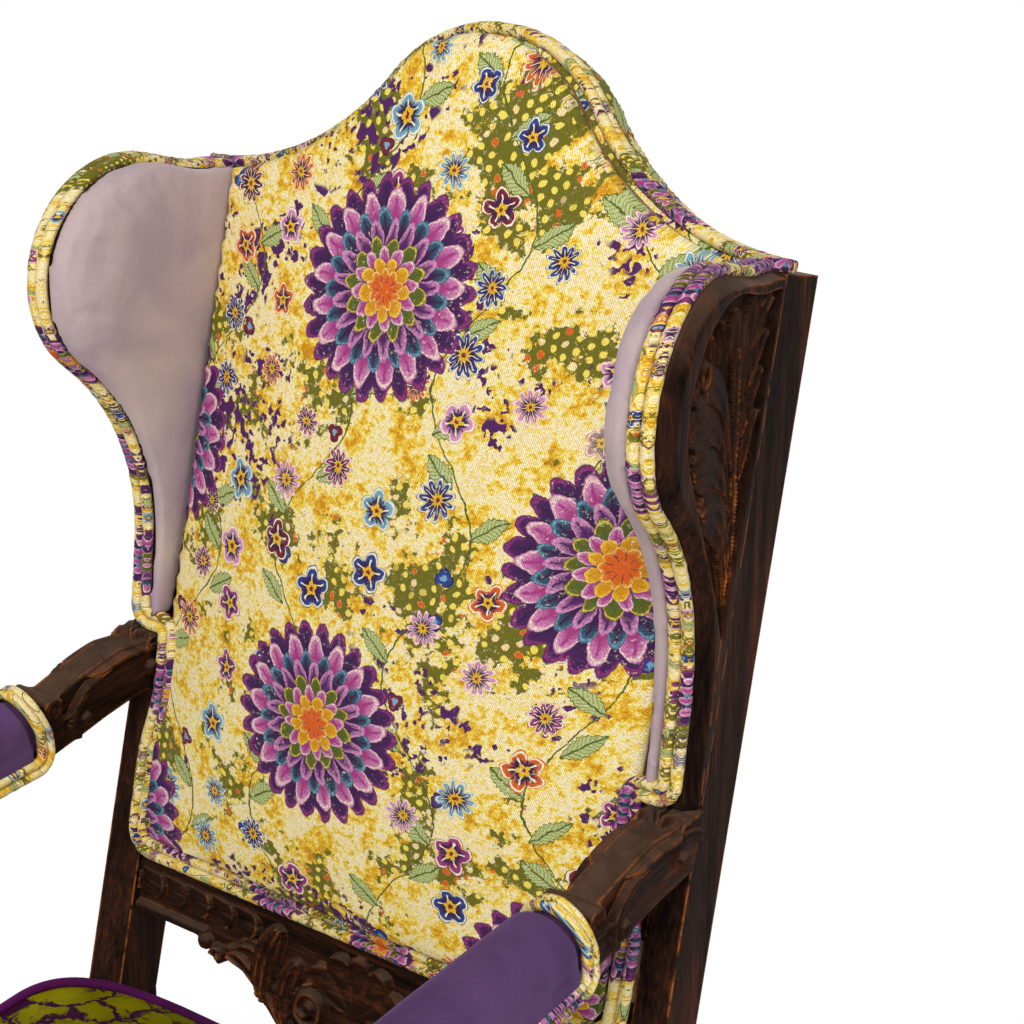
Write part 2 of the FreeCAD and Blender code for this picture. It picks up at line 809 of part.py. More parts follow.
def back_hessian():
    """The cloth over the webs that carries the stuffing."""
    return moved(prism(*panel_outline(PAD_DRAW), -HESSIAN_T, 0), BACK)


def back_welt():
    """Double piping round the lower back, below the arms."""
    half = panel_half - piping_w + CLEARANCE
    low = PANEL_LOW + piping_w - CLEARANCE
    corner = (half - PANEL_CORNER_R / 2, low + PANEL_CORNER_R / 2)
    right = (half, corner[1])
    bottom = (corner[0], low)
    turn = arc_middle(corner, PANEL_CORNER_R / 2, right, bottom)
    start = (half, BACK_WELT_TOP)
    steps = [(right,), (turn, bottom), (flip(bottom),), (flip(turn), flip(right)), (flip(start),)]
    profile = path(*double_cord(0), lambda point: Vector(start[0] + point[0], start[1], point[1]))
    return moved(swept(Part.Face(profile), start, steps), BACK)


def crest_welt():
    """Double piping along the arch, from one stile's top to the other."""
    apex, right = crest_steps(crest_end, crest_rail_inset)
    left = both_halves(apex, right)[len(right):]
    start = flip(right[-1][-1])
    profile = path(*double_cord(0), lambda point: Vector(start[0], start[1] + point[1], point[0] - piping_w))
    return moved(swept(Part.Face(profile), start, left + right), BACK)


def outside_back():
    """The covered panel that closes the rear, from stile to stile."""
    rear = -STILE_D - CLEARANCE
    half = stile_outer(stile_top) - STILE_W / 2
    apex, steps = crest_steps(half, crest_rail_inset)
    steps = steps + [((half, APRON_TOP),), ((0, APRON_TOP),)]
    return moved(prism(apex, both_halves(apex, steps), rear - OUTSIDE_T + CLEARANCE, rear), BACK)


# Arms

arm_left_x = leg_x - ARM_W / 2
arm_pad_front = ARM_DIP_Y + ARM_PAD_LENGTH


def side(x):
    """Lifts side-view points (forward of the stile, above arm level) to a plane across X."""
    return lambda point: Vector(x, BACK_Y - point[0], ARM_LEVEL + point[1])


def arm_profile():
    """The arm from the side: knuckle under the wing, hump, dip, core under the pad, front scroll."""
    scroll = (ARM_SCROLL_Y, ARM_UNDER + ARM_SCROLL_R)
    scroll_top = (ARM_SCROLL_Y, ARM_UNDER + 2 * ARM_SCROLL_R)
    scroll_front = (ARM_SCROLL_Y + ARM_SCROLL_R, scroll[1])
    scroll_low = (ARM_SCROLL_Y, ARM_UNDER)
    slope = math.sqrt(0.5) * ARM_SCROLL_R
    nose = (ARM_KNUCKLE + CORD_R, ARM_HUMP - CORD_R)
    shoulder = (ARM_SHOULDER_Y, (ARM_HUMP + ARM_DIP) / 2)
    under_turn = (ARM_UNDER_TURN, ARM_UNDER)
    under_rear = (ARM_HUMP_Y, ARM_UNDER_REAR)
    under_middle = ((under_turn[0] + under_rear[0]) / 2, (ARM_UNDER + ARM_UNDER_REAR) / 2 - CORD_R)
    start = (-STILE_D, WING_SEAT - CLEARANCE)
    return start, [
        ((ARM_KNUCKLE, WING_SEAT - CLEARANCE),),
        (nose,),
        ((ARM_HUMP_Y, ARM_HUMP), shoulder),
        ((ARM_HOLLOW_Y, ARM_HOLLOW), (ARM_DIP_Y, ARM_DIP)),
        ((ARM_DIP_Y, ARM_CORE_TOP),),
        ((arm_pad_front, ARM_CORE_TOP),),
        ((arm_pad_front, ARM_FRONT_TOP),),
        (((arm_pad_front + ARM_SCROLL_Y) / 2, scroll_top[1] - ARM_FRONT_SAG), scroll_top),
        ((ARM_SCROLL_Y + slope, scroll[1] + slope), scroll_front),
        ((ARM_SCROLL_Y + slope, scroll[1] - slope), scroll_low),
        (under_turn,),
        (under_middle, under_rear),
        ((-STILE_D, ARM_UNDER_REAR),),
        (start,),
    ]


def arm_tenon(grow):
    low = ARM_LEVEL + ARM_UNDER_REAR + TENON_SHOULDER - grow
    high = ARM_LEVEL + WING_SEAT - TENON_SHOULDER + grow
    return box(
        (leg_x - TENON_T / 2 - grow, BACK_Y - ARM_KNUCKLE, low),
        (leg_x + TENON_T / 2 + grow, BACK_Y + TENON_LENGTH + grow, high),
    )


def arm():
    """The arm, thinned to a core on a flat base where the pad is, with a bore for the post's tenon."""
    start, steps = arm_profile()
    face = Part.Face(path(start, steps, side(arm_left_x)))
    body = face.extrude(Vector(ARM_W, 0, 0))
    front = moved(box((0, -ARM_LEVEL, 0), (BACK_HALF * 2, ARM_LEVEL, ARM_LEVEL)), BACK)
    body = body.common(front)
    pad_rear_y = BACK_Y - ARM_DIP_Y
    pad_front_y = BACK_Y - arm_pad_front
    flank = (ARM_W - ARM_CORE_W) / 2
    low = ARM_LEVEL + ARM_PAD_LOW
    high = ARM_LEVEL + ARM_CORE_TOP
    for x in (arm_left_x, arm_left_x + ARM_W - flank):
        body = body.cut(box((x, pad_front_y, low), (x + flank, pad_rear_y, high)))
    bosses = [
        arm_boss(ARM_SCROLL_Y, ARM_UNDER + ARM_SCROLL_R, ARM_EYE_R, ARM_EYE_T),
        arm_boss(ARM_BOSS_REAR_Y, ARM_BOSS_REAR, ARM_BOSS_R, ARM_BOSS_T),
        arm_boss(ARM_BOSS_FRONT_Y, ARM_BOSS_FRONT, ARM_BOSS_R, ARM_BOSS_T),
    ]
    return joined([body] + bosses + [arm_tenon(0)]).cut(post_tenon(CLEARANCE))


def arm_boss(forward, height, radius, stand):
    """A round boss that stands out on both sides of the arm."""
    base = side(arm_left_x - stand)((forward, height))
    return Part.makeCylinder(radius, ARM_W + 2 * stand, base, Vector(1, 0, 0))


def arm_pad_section(y, draw):
    """A cross-section of the arm pad: straight sides, a round top, a flat base."""
    half = ARM_PAD_W / 2 - draw
    low = ARM_LEVEL + ARM_PAD_LOW
    shoulder = ARM_LEVEL + ARM_PAD_SHOULDER - draw
    top = ARM_LEVEL + ARM_PAD_TOP - draw
    start = (leg_x - half, low)
    steps = [
        ((leg_x + half, low),),
        ((leg_x + half, shoulder),),
        ((leg_x, top), (leg_x - half, shoulder)),
        (start,),
    ]
    return path(start, steps, lambda point: Vector(point[0], y, point[1]))


arm_pad_rear = BACK_Y - ARM_DIP_Y - CLEARANCE
arm_neck_rear = arm_pad_rear - piping_w - CLEARANCE
arm_neck_draw = piping_h + CLEARANCE


def arm_pad():
    """The stuffed pad that saddles the core of the arm, with a neck at its rear for the piping."""
    front = BACK_Y - arm_pad_front + CLEARANCE
    levels = [
        (arm_neck_rear, 0),
        ((arm_neck_rear + front) / 2, -ARM_PAD_SWELL),
        (front + ARM_PAD_END, 0),
        (front, ARM_PAD_DRAW),
    ]
    saddle = Part.makeLoft([arm_pad_section(y, draw) for y, draw in levels], True, True)
    neck_ends = (arm_pad_rear, arm_neck_rear - ARM_PAD_END)
    neck = Part.makeLoft([arm_pad_section(y, arm_neck_draw) for y in neck_ends], True, True)
    half = ARM_CORE_W / 2 + CLEARANCE
    core = box(
        (leg_x - half, leg_y, ARM_LEVEL + ARM_UNDER * 2),
        (leg_x + half, BACK_Y, ARM_LEVEL + ARM_CORE_TOP + CLEARANCE),
    )
    return joined([saddle, neck]).cut(core)


def arm_welt():
    """Piping along the two lower edges of the arm pad, and a double arch of it over the pad's rear end."""
    front = BACK_Y - arm_pad_front + CORD_R
    z = ARM_LEVEL + ARM_PAD_LOW - CORD_R - CLEARANCE
    cords = []
    for side_sign in (-1, 1):
        x = leg_x + side_sign * (ARM_W / 2 + CORD_R + CLEARANCE)
        length = arm_pad_rear - front
        cords.append(Part.makeCylinder(CORD_R, length, Vector(x, front, z), Vector(0, 1, 0)))
    half = ARM_PAD_W / 2 - arm_neck_draw
    start = (half, ARM_PAD_LOW)
    shoulder = (half, ARM_PAD_SHOULDER - arm_neck_draw)
    top = (0, ARM_PAD_TOP - arm_neck_draw)
    steps = [(shoulder,), (top, flip(shoulder)), (flip(start),)]
    profile = path(*double_cord(0), lambda point: Vector(start[0] + point[1], start[1], point[0]))
    upright = Placement(Vector(leg_x, arm_pad_rear, ARM_LEVEL), Rotation(Vector(1, 0, 0), 90))
    arch = moved(swept(Part.Face(profile), start, steps), upright)
    return Part.makeCompound(cords + [arch])


# Front legs

def post_tenon(grow):
    base = Vector(leg_x, leg_y, ARM_LEVEL + ARM_UNDER - TENON_LENGTH)
    return Part.makeCylinder(POST_TENON_R + grow, TENON_LENGTH + POST_TENON_LENGTH + grow, base)


def ring_steps(low, high, neck):
    """A turned ring between two levels, with bevelled edges."""
    return [((RING_R, low + RING_EDGE),), ((RING_R, high - RING_EDGE),), ((neck, high),)]


def turned(low, high, neck, belly, belly_rise):
    """A turned length: a ring at each end and a vase between them."""
    first = low + RING_H
    last = high - RING_H
    start = (0, low)
    steps = [((neck, low),)]
    steps += ring_steps(low, first, neck)
    steps += [((belly, first + belly_rise), (neck, last))]
    steps += ring_steps(last, high, neck)
    steps += [((0, high),), (start,)]
    return lathed(start, steps)


def lathed(start, steps):
    """A half outline turned about the leg's axis."""
    outline = path(start, steps, lambda point: Vector(leg_x + point[0], leg_y, point[1]))
    return Part.Face(outline).revolve(Vector(leg_x, leg_y, 0), Vector(0, 0, 1), 360)


def square_block(size, low, high):
    half = size / 2
    return box((leg_x - half, leg_y - half, low), (leg_x + half, leg_y + half, high))


def front_leg():
    """Bun foot, stretcher block, vase, rail block and arm post, turned from one length."""
    top = ARM_LEVEL + ARM_UNDER
    start = (0, 0)
    foot = lathed(start, [
        ((FOOT_FLAT_R, 0),),
        ((FOOT_R, FOOT_BELLY), (NECK_R, STRETCHER_BLOCK_LOW)),
        ((0, STRETCHER_BLOCK_LOW),),
        (start,),
    ])
    return joined([
        foot,
        square_block(STRETCHER_BLOCK, STRETCHER_BLOCK_LOW, STRETCHER_BLOCK_TOP),
        turned(STRETCHER_BLOCK_TOP, LEG_BLOCK_LOW, NECK_R, VASE_R, VASE_BELLY),
        square_block(LEG_BLOCK, LEG_BLOCK_LOW, LEG_BLOCK_TOP),
        turned(LEG_BLOCK_TOP, top, NECK_R, POST_VASE_R, POST_VASE_BELLY),
        post_tenon(0),
    ])


# Seat frame

rail_out = block_outer - RAIL_INSET
rail_in = rail_out - RAIL_T
front_rail_y = leg_y - LEG_BLOCK / 2 + RAIL_INSET
rear_rail_y = block_front + block_depth - RAIL_T - RAIL_INSET
leg_back = leg_y + LEG_BLOCK / 2
leg_in = leg_x - LEG_BLOCK / 2
stile_in = block_outer - STILE_W


def side_rail_tenon(grow):
    middle = (rail_out + rail_in) / 2
    return box(
        (middle - TENON_T / 2 - grow, leg_back - TENON_LENGTH - grow, RAIL_LOW + TENON_SHOULDER - grow),
        (middle + TENON_T / 2 + grow, block_front + TENON_LENGTH + grow, RAIL_TOP - TENON_SHOULDER + grow),
    )


def cross_rail_tenon(y, half, grow):
    middle = y + RAIL_T / 2
    return box(
        (-half - TENON_LENGTH - grow, middle - TENON_T / 2 - grow, RAIL_LOW + TENON_SHOULDER * 2 - grow),
        (half + TENON_LENGTH + grow, middle + TENON_T / 2 + grow, RAIL_TOP - TENON_SHOULDER * 2 + grow),
    )


def side_rail():
    rail = box((rail_in, leg_back, RAIL_LOW), (rail_out, block_front, RAIL_TOP))
    return joined([rail, side_rail_tenon(0)])


def cross_rail(y, half):
    rail = box((-half, y, RAIL_LOW), (half, y + RAIL_T, RAIL_TOP))
    return joined([rail, cross_rail_tenon(y, half, 0)])


def corner_block(y, toward):
    """A three-sided block in the angle of two rails, notched by the leg's corner."""
    low = RAIL_TOP - BLOCK_H - TENON_SHOULDER
    points = [(rail_in, y), (rail_in - BLOCK_LEG, y), (rail_in, y + toward * BLOCK_LEG)]
    return polygon(points, low, low + BLOCK_H)


front_block_y = front_rail_y + RAIL_T
rear_block_y = rear_rail_y


def corner_blocks():
    blocks = [corner_block(front_block_y, 1), corner_block(rear_block_y, -1)]
    post = square_block(LEG_BLOCK + 2 * CLEARANCE, RAIL_LOW, RAIL_TOP)
    stile = box(
        (stile_in - CLEARANCE, block_front - CLEARANCE, RAIL_LOW),
        (block_outer, block_front + block_depth, RAIL_TOP),
    )
    blocks = [block.cut(post).cut(stile).cut(block_screw_at(block_y, toward, CLEARANCE))
              for block, block_y, toward in zip(blocks, (front_block_y, rear_block_y), (1, -1))]
    return Part.makeCompound(blocks + [mirrored(block) for block in blocks])


def block_screw_at(y, toward, grow):
    """A wood screw through the middle of a block's long face, into the corner."""
    z = RAIL_TOP - BLOCK_H / 2 - TENON_SHOULDER
    face = Vector(rail_in - BLOCK_LEG / 2, y + toward * BLOCK_LEG / 2, z)
    aim = Vector(1, -toward, 0).normalize()
    shank = Part.makeCylinder(SCREW_R + grow, SCREW_LENGTH, face, aim)
    head = Part.makeCylinder(SCREW_HEAD_R, SCREW_HEAD_T, face - aim * SCREW_HEAD_T, aim)
    return shank if grow else joined([shank, head])


def block_screws():
    screws = [block_screw_at(front_block_y, 1, 0), block_screw_at(rear_block_y, -1, 0)]
    return Part.makeCompound(screws + [mirrored(screw) for screw in screws])


def screw_holes():
    return [block_screw_at(front_block_y, 1, CLEARANCE), block_screw_at(rear_block_y, -1, CLEARANCE)]


def stretcher_line(length, bulb):
    """A turned bar along +Z from the origin: round tenons, tapered lengths and a swelling in the middle."""
    start = (0, 0)
    middle = length / 2
    low = TENON_LENGTH
    high = length - TENON_LENGTH
    swell_low = middle - STRETCHER_SWELL / 2
    swell_high = middle + STRETCHER_SWELL / 2
    points = [
        (STRETCHER_END_R, 0),
        (STRETCHER_END_R, low),
        (STRETCHER_R, (low + swell_low) / 2),
        (STRETCHER_END_R, swell_low),
        (bulb, middle - TENON_LENGTH),
        (bulb, middle + TENON_LENGTH),
        (STRETCHER_END_R, swell_high),
        (STRETCHER_R, (high + swell_high) / 2),
        (STRETCHER_END_R, high),
        (STRETCHER_END_R, length),
        (0, length),
        start,
    ]
    outline = path(start, [(point,) for point in points], lambda point: Vector(point[0], 0, point[1]))
    return Part.Face(outline).revolve(Vector(0, 0, 0), Vector(0, 0, 1), 360)


def bar(a, b, bulb):
    """A turned stretcher between two points."""
    direction = b - a
    turn = Rotation(Vector(0, 0, 1), direction)
    return moved(stretcher_line(direction.Length, bulb), Placement(a, turn))


def rear_leg_front(z):
    """Y of the rear leg's front face at a height below the seat block."""
    return block_front + REAR_FOOT_BACK * (1 - z / REAR_BLOCK_LOW)


def side_stretcher_ends():
    front = Vector(leg_x, leg_y + STRETCHER_BLOCK / 2, STRETCHER_Z)
    rear = Vector(leg_x, rear_leg_front(STRETCHER_Z) + TENON_LENGTH / 2, STRETCHER_Z)
    return front, rear


def side_stretcher():
    front, rear = side_stretcher_ends()
    return bar(front, rear, STRETCHER_R)


def cross_stretcher():
    front, rear = side_stretcher_ends()
    y = (front.y + rear.y) / 2
    half = leg_x
    return bar(Vector(-half, y, STRETCHER_Z), Vector(half, y, STRETCHER_Z), STRETCHER_BULB_R)


def rear_stretcher():
    z = REAR_STRETCHER_Z
    y = rear_leg_front(z) + REAR_FOOT_D / 2
    half = block_outer - STILE_W + TENON_LENGTH / 2
    return bar(Vector(-half, y, z), Vector(half, y, z), STRETCHER_R)


def round_hole(a, b):
    direction = b - a
    return Part.makeCylinder(STRETCHER_END_R + CLEARANCE, direction.Length + CLEARANCE, a, direction)


def side_stretcher_hole():
    front, rear = side_stretcher_ends()
    return round_hole(rear - Vector(0, TENON_LENGTH * 2, 0), rear)


def rear_stretcher_hole():
    z = REAR_STRETCHER_Z
    y = rear_leg_front(z) + REAR_FOOT_D / 2
    end = Vector(block_outer - STILE_W + TENON_LENGTH / 2, y, z)
    return round_hole(end - Vector(TENON_LENGTH * 2, 0, 0), end)


def cross_stretcher_hole():
    front, rear = side_stretcher_ends()
    end = Vector(leg_x, (front.y + rear.y) / 2, STRETCHER_Z)
    return round_hole(end - Vector(TENON_LENGTH * 2, 0, 0), end)


# Seat upholstery

web_top = RAIL_TOP + 2 * WEBBING_T
seat_base = web_top + HESSIAN_T + CLEARANCE
seat_rear = block_front - SEAT_REAR_GAP
seat_front = leg_y - LEG_BLOCK / 2 - SEAT_OVERHANG
seat_half = block_outer + SEAT_SIDE
notch_x = leg_in - SEAT_POST_GAP
notch_y = leg_back + SEAT_POST_GAP


def seat_rear_half(inset):
    """The right half of the seat's rear edge, round its corner and along the flank to the arm post."""
    half = seat_half - inset
    rear = seat_rear - inset
    corner = (half - SEAT_CORNER_R, rear - SEAT_CORNER_R)
    back = (corner[0], rear)
    flank = (half, corner[1])
    return (0, rear), [
        (back,),
        (arc_middle(corner, SEAT_CORNER_R, back, flank), flank),
        ((half, notch_y + inset),),
    ]


def seat_outline(inset):
    """The seat in plan: round rear corners and square notches for the arm posts."""
    inner = notch_x - inset
    front = seat_front + inset
    start, steps = seat_rear_half(inset)
    steps = steps + [((inner, notch_y + inset),), ((inner, front),), ((0, front),)]
    return start, both_halves(start, steps)


piping_ledge = SEAT_EDGE - SEAT_PIPING_R


def seat_pad():
    """The stuffed seat: crowned both ways, drawn in at the rails, with a ledge for the piping
    and a low tongue that covers the webs as far as the rear rail."""
    middle = (seat_front + seat_rear) / 2
    levels = [(seat_front, SEAT_EDGE_CROWN), (middle, SEAT_CROWN), (seat_rear, SEAT_EDGE_CROWN)]
    wires = []
    for y, crown in levels:
        start, steps = crown_section(seat_half, seat_base, SEAT_EDGE, SEAT_EDGE + crown)
        wires.append(path(start, steps, lambda point, y=y: Vector(point[0], y, point[1])))
    crowned = Part.makeLoft(wires, True, False)
    sides = [(SEAT_DRAW, seat_base), (0, (seat_base + SEAT_EDGE) / 2), (0, piping_ledge)]
    border = Part.makeLoft([path(*seat_outline(inset), flat(z)) for inset, z in sides], True, True)
    top = prism(*seat_outline(2 * SEAT_PIPING_R + CLEARANCE), seat_base, SEAT_EDGE + 2 * SEAT_CROWN)
    tongue_half = stile_in - SEAT_POST_GAP
    tongue = box(
        (-tongue_half, seat_rear - SEAT_CORNER_R, seat_base),
        (tongue_half, rear_rail_y + RAIL_T, seat_base + SEAT_TONGUE_T),
    )
    return joined([border, crowned.common(top), tongue])


def seat_piping():
    """A cord round the seat's rear and flanks, from post to post, and another across its front."""
    z = piping_ledge + SEAT_PIPING_R + CLEARANCE
    start, right = seat_rear_half(SEAT_PIPING_R)
    left = both_halves(start, right)[len(right):]
    begin = flip(right[-1][-1])
    circle = Part.makeCircle(SEAT_PIPING_R, Vector(begin[0], begin[1], z), Vector(0, 1, 0))
    cord = swept(Part.Face(Part.Wire(circle)), begin, left + right)
    low = Vector(-notch_x, seat_front + SEAT_PIPING_R, z)
    front = Part.makeCylinder(SEAT_PIPING_R, 2 * notch_x, low, Vector(1, 0, 0))
    return Part.makeCompound([cord, front])


def seat_webbing():
    """Webs from front to rear, with the ones from side to side laid over them."""
    strips = []
    for index in range(SEAT_WEBS_DEEP):
        x = leg_in * (2 * (index + 0.5) / SEAT_WEBS_DEEP - 1)
        strips.append(box(
            (x - WEBBING_W / 2, front_rail_y, RAIL_TOP),
            (x + WEBBING_W / 2, rear_rail_y + RAIL_T, RAIL_TOP + WEBBING_T),
        ))
    for index in range(SEAT_WEBS_ACROSS):
        y = leg_back + (block_front - leg_back) * (index + 0.5) / SEAT_WEBS_ACROSS
        strips.append(box(
            (-rail_out, y - WEBBING_W / 2, RAIL_TOP + WEBBING_T),
            (rail_out, y + WEBBING_W / 2, web_top),
        ))
    return Part.makeCompound(strips)


def seat_hessian():
    return prism(*seat_outline(SEAT_DRAW * 2), web_top, web_top + HESSIAN_T)


def dust_cover():
    """The cloth tacked under the rails, cut round the legs."""
    cloth = box((-rail_out, front_rail_y, RAIL_LOW - DUST_T), (rail_out, rear_rail_y + RAIL_T, RAIL_LOW))
    post = square_block(LEG_BLOCK + 2 * CLEARANCE, REAR_BLOCK_LOW - RAIL_T, RAIL_TOP)
    stile = box(
        (stile_in - CLEARANCE, block_front - CLEARANCE, REAR_BLOCK_LOW - RAIL_T),
        (block_outer, block_front + block_depth, RAIL_TOP),
    )
    for cutter in (post, stile):
        cloth = cloth.cut(cutter).cut(mirrored(cutter))
    return cloth


# Assembly

def parts():
    """Every node by name; paired pieces are made once and mirrored."""
    rear_mortises = [
        moved(crest_tenon(CLEARANCE), BACK),
        moved(apron_tenon(CLEARANCE), BACK),
        arm_tenon(CLEARANCE),
        side_rail_tenon(CLEARANCE),
        cross_rail_tenon(rear_rail_y, stile_in, CLEARANCE),
        side_stretcher_hole(),
        rear_stretcher_hole(),
    ]
    leg_mortises = [
        side_rail_tenon(CLEARANCE),
        cross_rail_tenon(front_rail_y, leg_in, CLEARANCE),
        screw_holes()[0],
    ]
    stile = rear_stile().cut(rear_mortises + [screw_holes()[1]])
    leg = front_leg().cut(leg_mortises)
    holes = screw_holes()
    holes += [mirrored(hole) for hole in holes]
    pairs = {
        "rear_stile": stile,
        "front_leg": leg,
        "wing_board": wing_board(),
        "wing_pad": wing_pad(),
        "wing_welt": wing_welt(),
        "arm": arm(),
        "arm_pad": arm_pad(),
        "arm_welt": arm_welt(),
        "seat_rail": side_rail().cut(holes),
        "side_stretcher": side_stretcher().cut(cross_stretcher_hole()),
    }
    nodes = {
        "crest_rail": crest_rail(),
        "apron_rail": apron_rail(),
        "seat_rail_front": cross_rail(front_rail_y, leg_in).cut(holes),
        "seat_rail_rear": cross_rail(rear_rail_y, stile_in).cut(holes),
        "corner_blocks": corner_blocks(),
        "block_screws": block_screws(),
        "cross_stretcher": cross_stretcher(),
        "rear_stretcher": rear_stretcher(),
        "back_webbing": back_webbing(),
        "back_hessian": back_hessian(),
        "back_pad": back_pad(),
        "back_welt": back_welt(),
        "crest_welt": crest_welt(),
        "outside_back": outside_back(),
        "seat_webbing": seat_webbing(),
        "seat_hessian": seat_hessian(),
        "seat_pad": seat_pad(),
        "seat_piping": seat_piping(),
        "dust_cover": dust_cover(),
    }
    for name, shape in pairs.items():
        nodes[name + "_right"] = shape
        nodes[name + "_left"] = mirrored(shape)
    return nodes


def export():
    os.makedirs(OUT, exist_ok=True)
    for name, shape in parts().items():
        shape.exportStep(os.path.join(OUT, name + ".step"))


export()
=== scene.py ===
"""Dresses the wing chair: stained oak with its carving, printed cloth, velvets and piping."""

import math

import bmesh
import bpy
import numpy as np
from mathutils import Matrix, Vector, noise


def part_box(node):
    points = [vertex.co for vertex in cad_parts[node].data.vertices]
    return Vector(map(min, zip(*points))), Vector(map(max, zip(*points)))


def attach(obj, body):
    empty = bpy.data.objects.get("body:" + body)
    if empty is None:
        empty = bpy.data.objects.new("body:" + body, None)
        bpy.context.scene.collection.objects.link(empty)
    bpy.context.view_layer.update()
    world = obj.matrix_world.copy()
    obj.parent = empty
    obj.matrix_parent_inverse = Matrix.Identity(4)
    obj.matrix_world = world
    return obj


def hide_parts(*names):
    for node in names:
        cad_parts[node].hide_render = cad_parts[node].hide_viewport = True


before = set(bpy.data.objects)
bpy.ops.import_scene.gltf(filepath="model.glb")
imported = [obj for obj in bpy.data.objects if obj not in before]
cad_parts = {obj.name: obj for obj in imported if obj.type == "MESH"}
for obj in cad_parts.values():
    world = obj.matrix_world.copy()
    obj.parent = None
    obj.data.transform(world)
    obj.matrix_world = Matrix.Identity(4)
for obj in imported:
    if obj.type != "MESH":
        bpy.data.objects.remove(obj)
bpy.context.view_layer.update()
scene = bpy.context.scene
scene.view_settings.view_transform = "Standard"

# Driving values, in metres and degrees

MM = 0.001
ARM_LEVEL = 0.730
RAKE = math.radians(14.05)
REAR_BLOCK_TOP = 0.412
BACK_HALF = 0.282
STILE_LEAN = math.radians(1.2)
WING_SPLAY = math.radians(6.6)

CAMERA_AZIMUTH = math.radians(36.617)
CAMERA_PITCH = math.radians(22.62)
CAMERA_X = 0.9596
CAMERA_BEFORE_BACK = 1.278
CAMERA_HEIGHT = 1.6048
CAMERA_LENS = 78.17
CAMERA_SENSOR = 36.0
CAMERA_SHIFT_X = 0.109

# Each lamp's name, place, aim, size and watts
LAMPS = [
    ("key", (1.2, -2.6, 3.2), (0, 0, 0.8), 1.6, 105),
    ("fill", (2.9, -0.6, 1.9), (0, 0.1, 0.8), 1.6, 10),
    ("rear", (-1.2, 2.8, 2.4), (0, 0.2, 0.8), 1.8, 24),
]
AMBIENT = 0.38
FLOOR_HALF = 6.0
FLOOR_NEAR = 0.5
FLOOR_FAR = 0.85
FLOOR_DARK = (0.86, 0.86, 0.86)
FLOOR_LIGHT = (0.90, 0.90, 0.90)

# Places on the chair

BACK_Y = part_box("rear_stile_right")[0].y + (ARM_LEVEL - REAR_BLOCK_TOP) * math.tan(RAKE)
ARM_X = sum(corner.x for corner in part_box("front_leg_right")) / 2
SIDES = (("right", 1), ("left", -1))
BACK_UP = np.array([0, math.sin(RAKE), math.cos(RAKE)])
BACK_OUT = np.array([0, -math.cos(RAKE), math.sin(RAKE)])
BACK_ORIGIN = np.array([0, BACK_Y, ARM_LEVEL])


def unit(vector):
    """The vector at length 1."""
    return vector / np.linalg.norm(vector)


WING_UP = unit(BACK_UP - np.array([math.tan(STILE_LEAN), 0, 0]))
WING_OUT = BACK_OUT * math.cos(WING_SPLAY) + np.array([math.sin(WING_SPLAY), 0, 0])
WING_OUT = unit(WING_OUT - WING_UP * WING_OUT.dot(WING_UP))
WING_IN = np.cross(WING_OUT, WING_UP)
WING_ORIGIN = BACK_ORIGIN + np.array([BACK_HALF, 0, 0])


def on_back(x, v, n):
    """The point x across the back, v up its slope from arm level and n forward of the stiles."""
    x, v, n = np.broadcast_arrays(x, v, n)
    return np.stack([x, 0 * x, 0 * x], -1) + BACK_ORIGIN + v[..., None] * BACK_UP + n[..., None] * BACK_OUT


def on_wing(n, v, depth):
    """The point n forward on the right wing, v up it and depth in from its outside."""
    n, v, depth = (np.asarray(value)[..., None] for value in (n, v, depth))
    return WING_ORIGIN + n * WING_OUT + v * WING_UP + depth * WING_IN


# Fields: values that vary over a surface


class Field:
    """A value from a node's socket; arithmetic on it adds math nodes to the same tree."""

    def __init__(self, socket):
        self.socket = socket

    def make(self, kind, output, inputs, **settings):
        """An output of a new node in the same tree, with its settings and inputs."""
        node = self.socket.id_data.nodes.new(kind)
        for name, value in settings.items():
            setattr(node, name, value)
        for key, value in inputs.items():
            plug(value, node.inputs[key])
        return Field(node.outputs[output])

    def math(self, operation, *others):
        return self.make("ShaderNodeMath", 0, dict(enumerate((self, *others))), operation=operation)

    def __add__(self, other):
        return self.math("ADD", other)

    def __sub__(self, other):
        return self.math("SUBTRACT", other)

    def __mul__(self, other):
        return self.math("MULTIPLY", other)

    def __truediv__(self, other):
        return self.math("DIVIDE", other)

    def rise(self, low, high):
        """0 up to low and 1 from high on, or the other way round where low is the larger."""
        inputs = {"Value": self, "From Min": low, "From Max": high}
        return self.make("ShaderNodeMapRange", "Result", inputs, interpolation_type="SMOOTHSTEP")

    def size(self):
        return self.math("ABSOLUTE")

    def either(self, other):
        return self.math("MAXIMUM", other)


def plug(value, socket):
    """Puts a field or a plain value into a socket."""
    if isinstance(value, Field):
        socket.id_data.links.new(value.socket, socket)
    elif isinstance(value, tuple) and len(value) == 3 and len(socket.default_value) == 4:
        socket.default_value = (*value, 1)
    else:
        socket.default_value = value


def split(vector):
    """The three parts of a vector."""
    first = vector.make("ShaderNodeSeparateXYZ", 0, {0: vector})
    return [Field(socket) for socket in first.socket.node.outputs]


def gather(x, y, z):
    """A vector of three values."""
    return x.make("ShaderNodeCombineXYZ", 0, {0: x, 1: y, 2: z})


def mapped(place, scale=(1, 1, 1), turn=(0, 0, 0), shift=(0, 0, 0)):
    """A place scaled, turned and shifted."""
    inputs = {"Vector": place, "Scale": scale, "Rotation": turn, "Location": shift}
    return place.make("ShaderNodeMapping", 0, inputs)


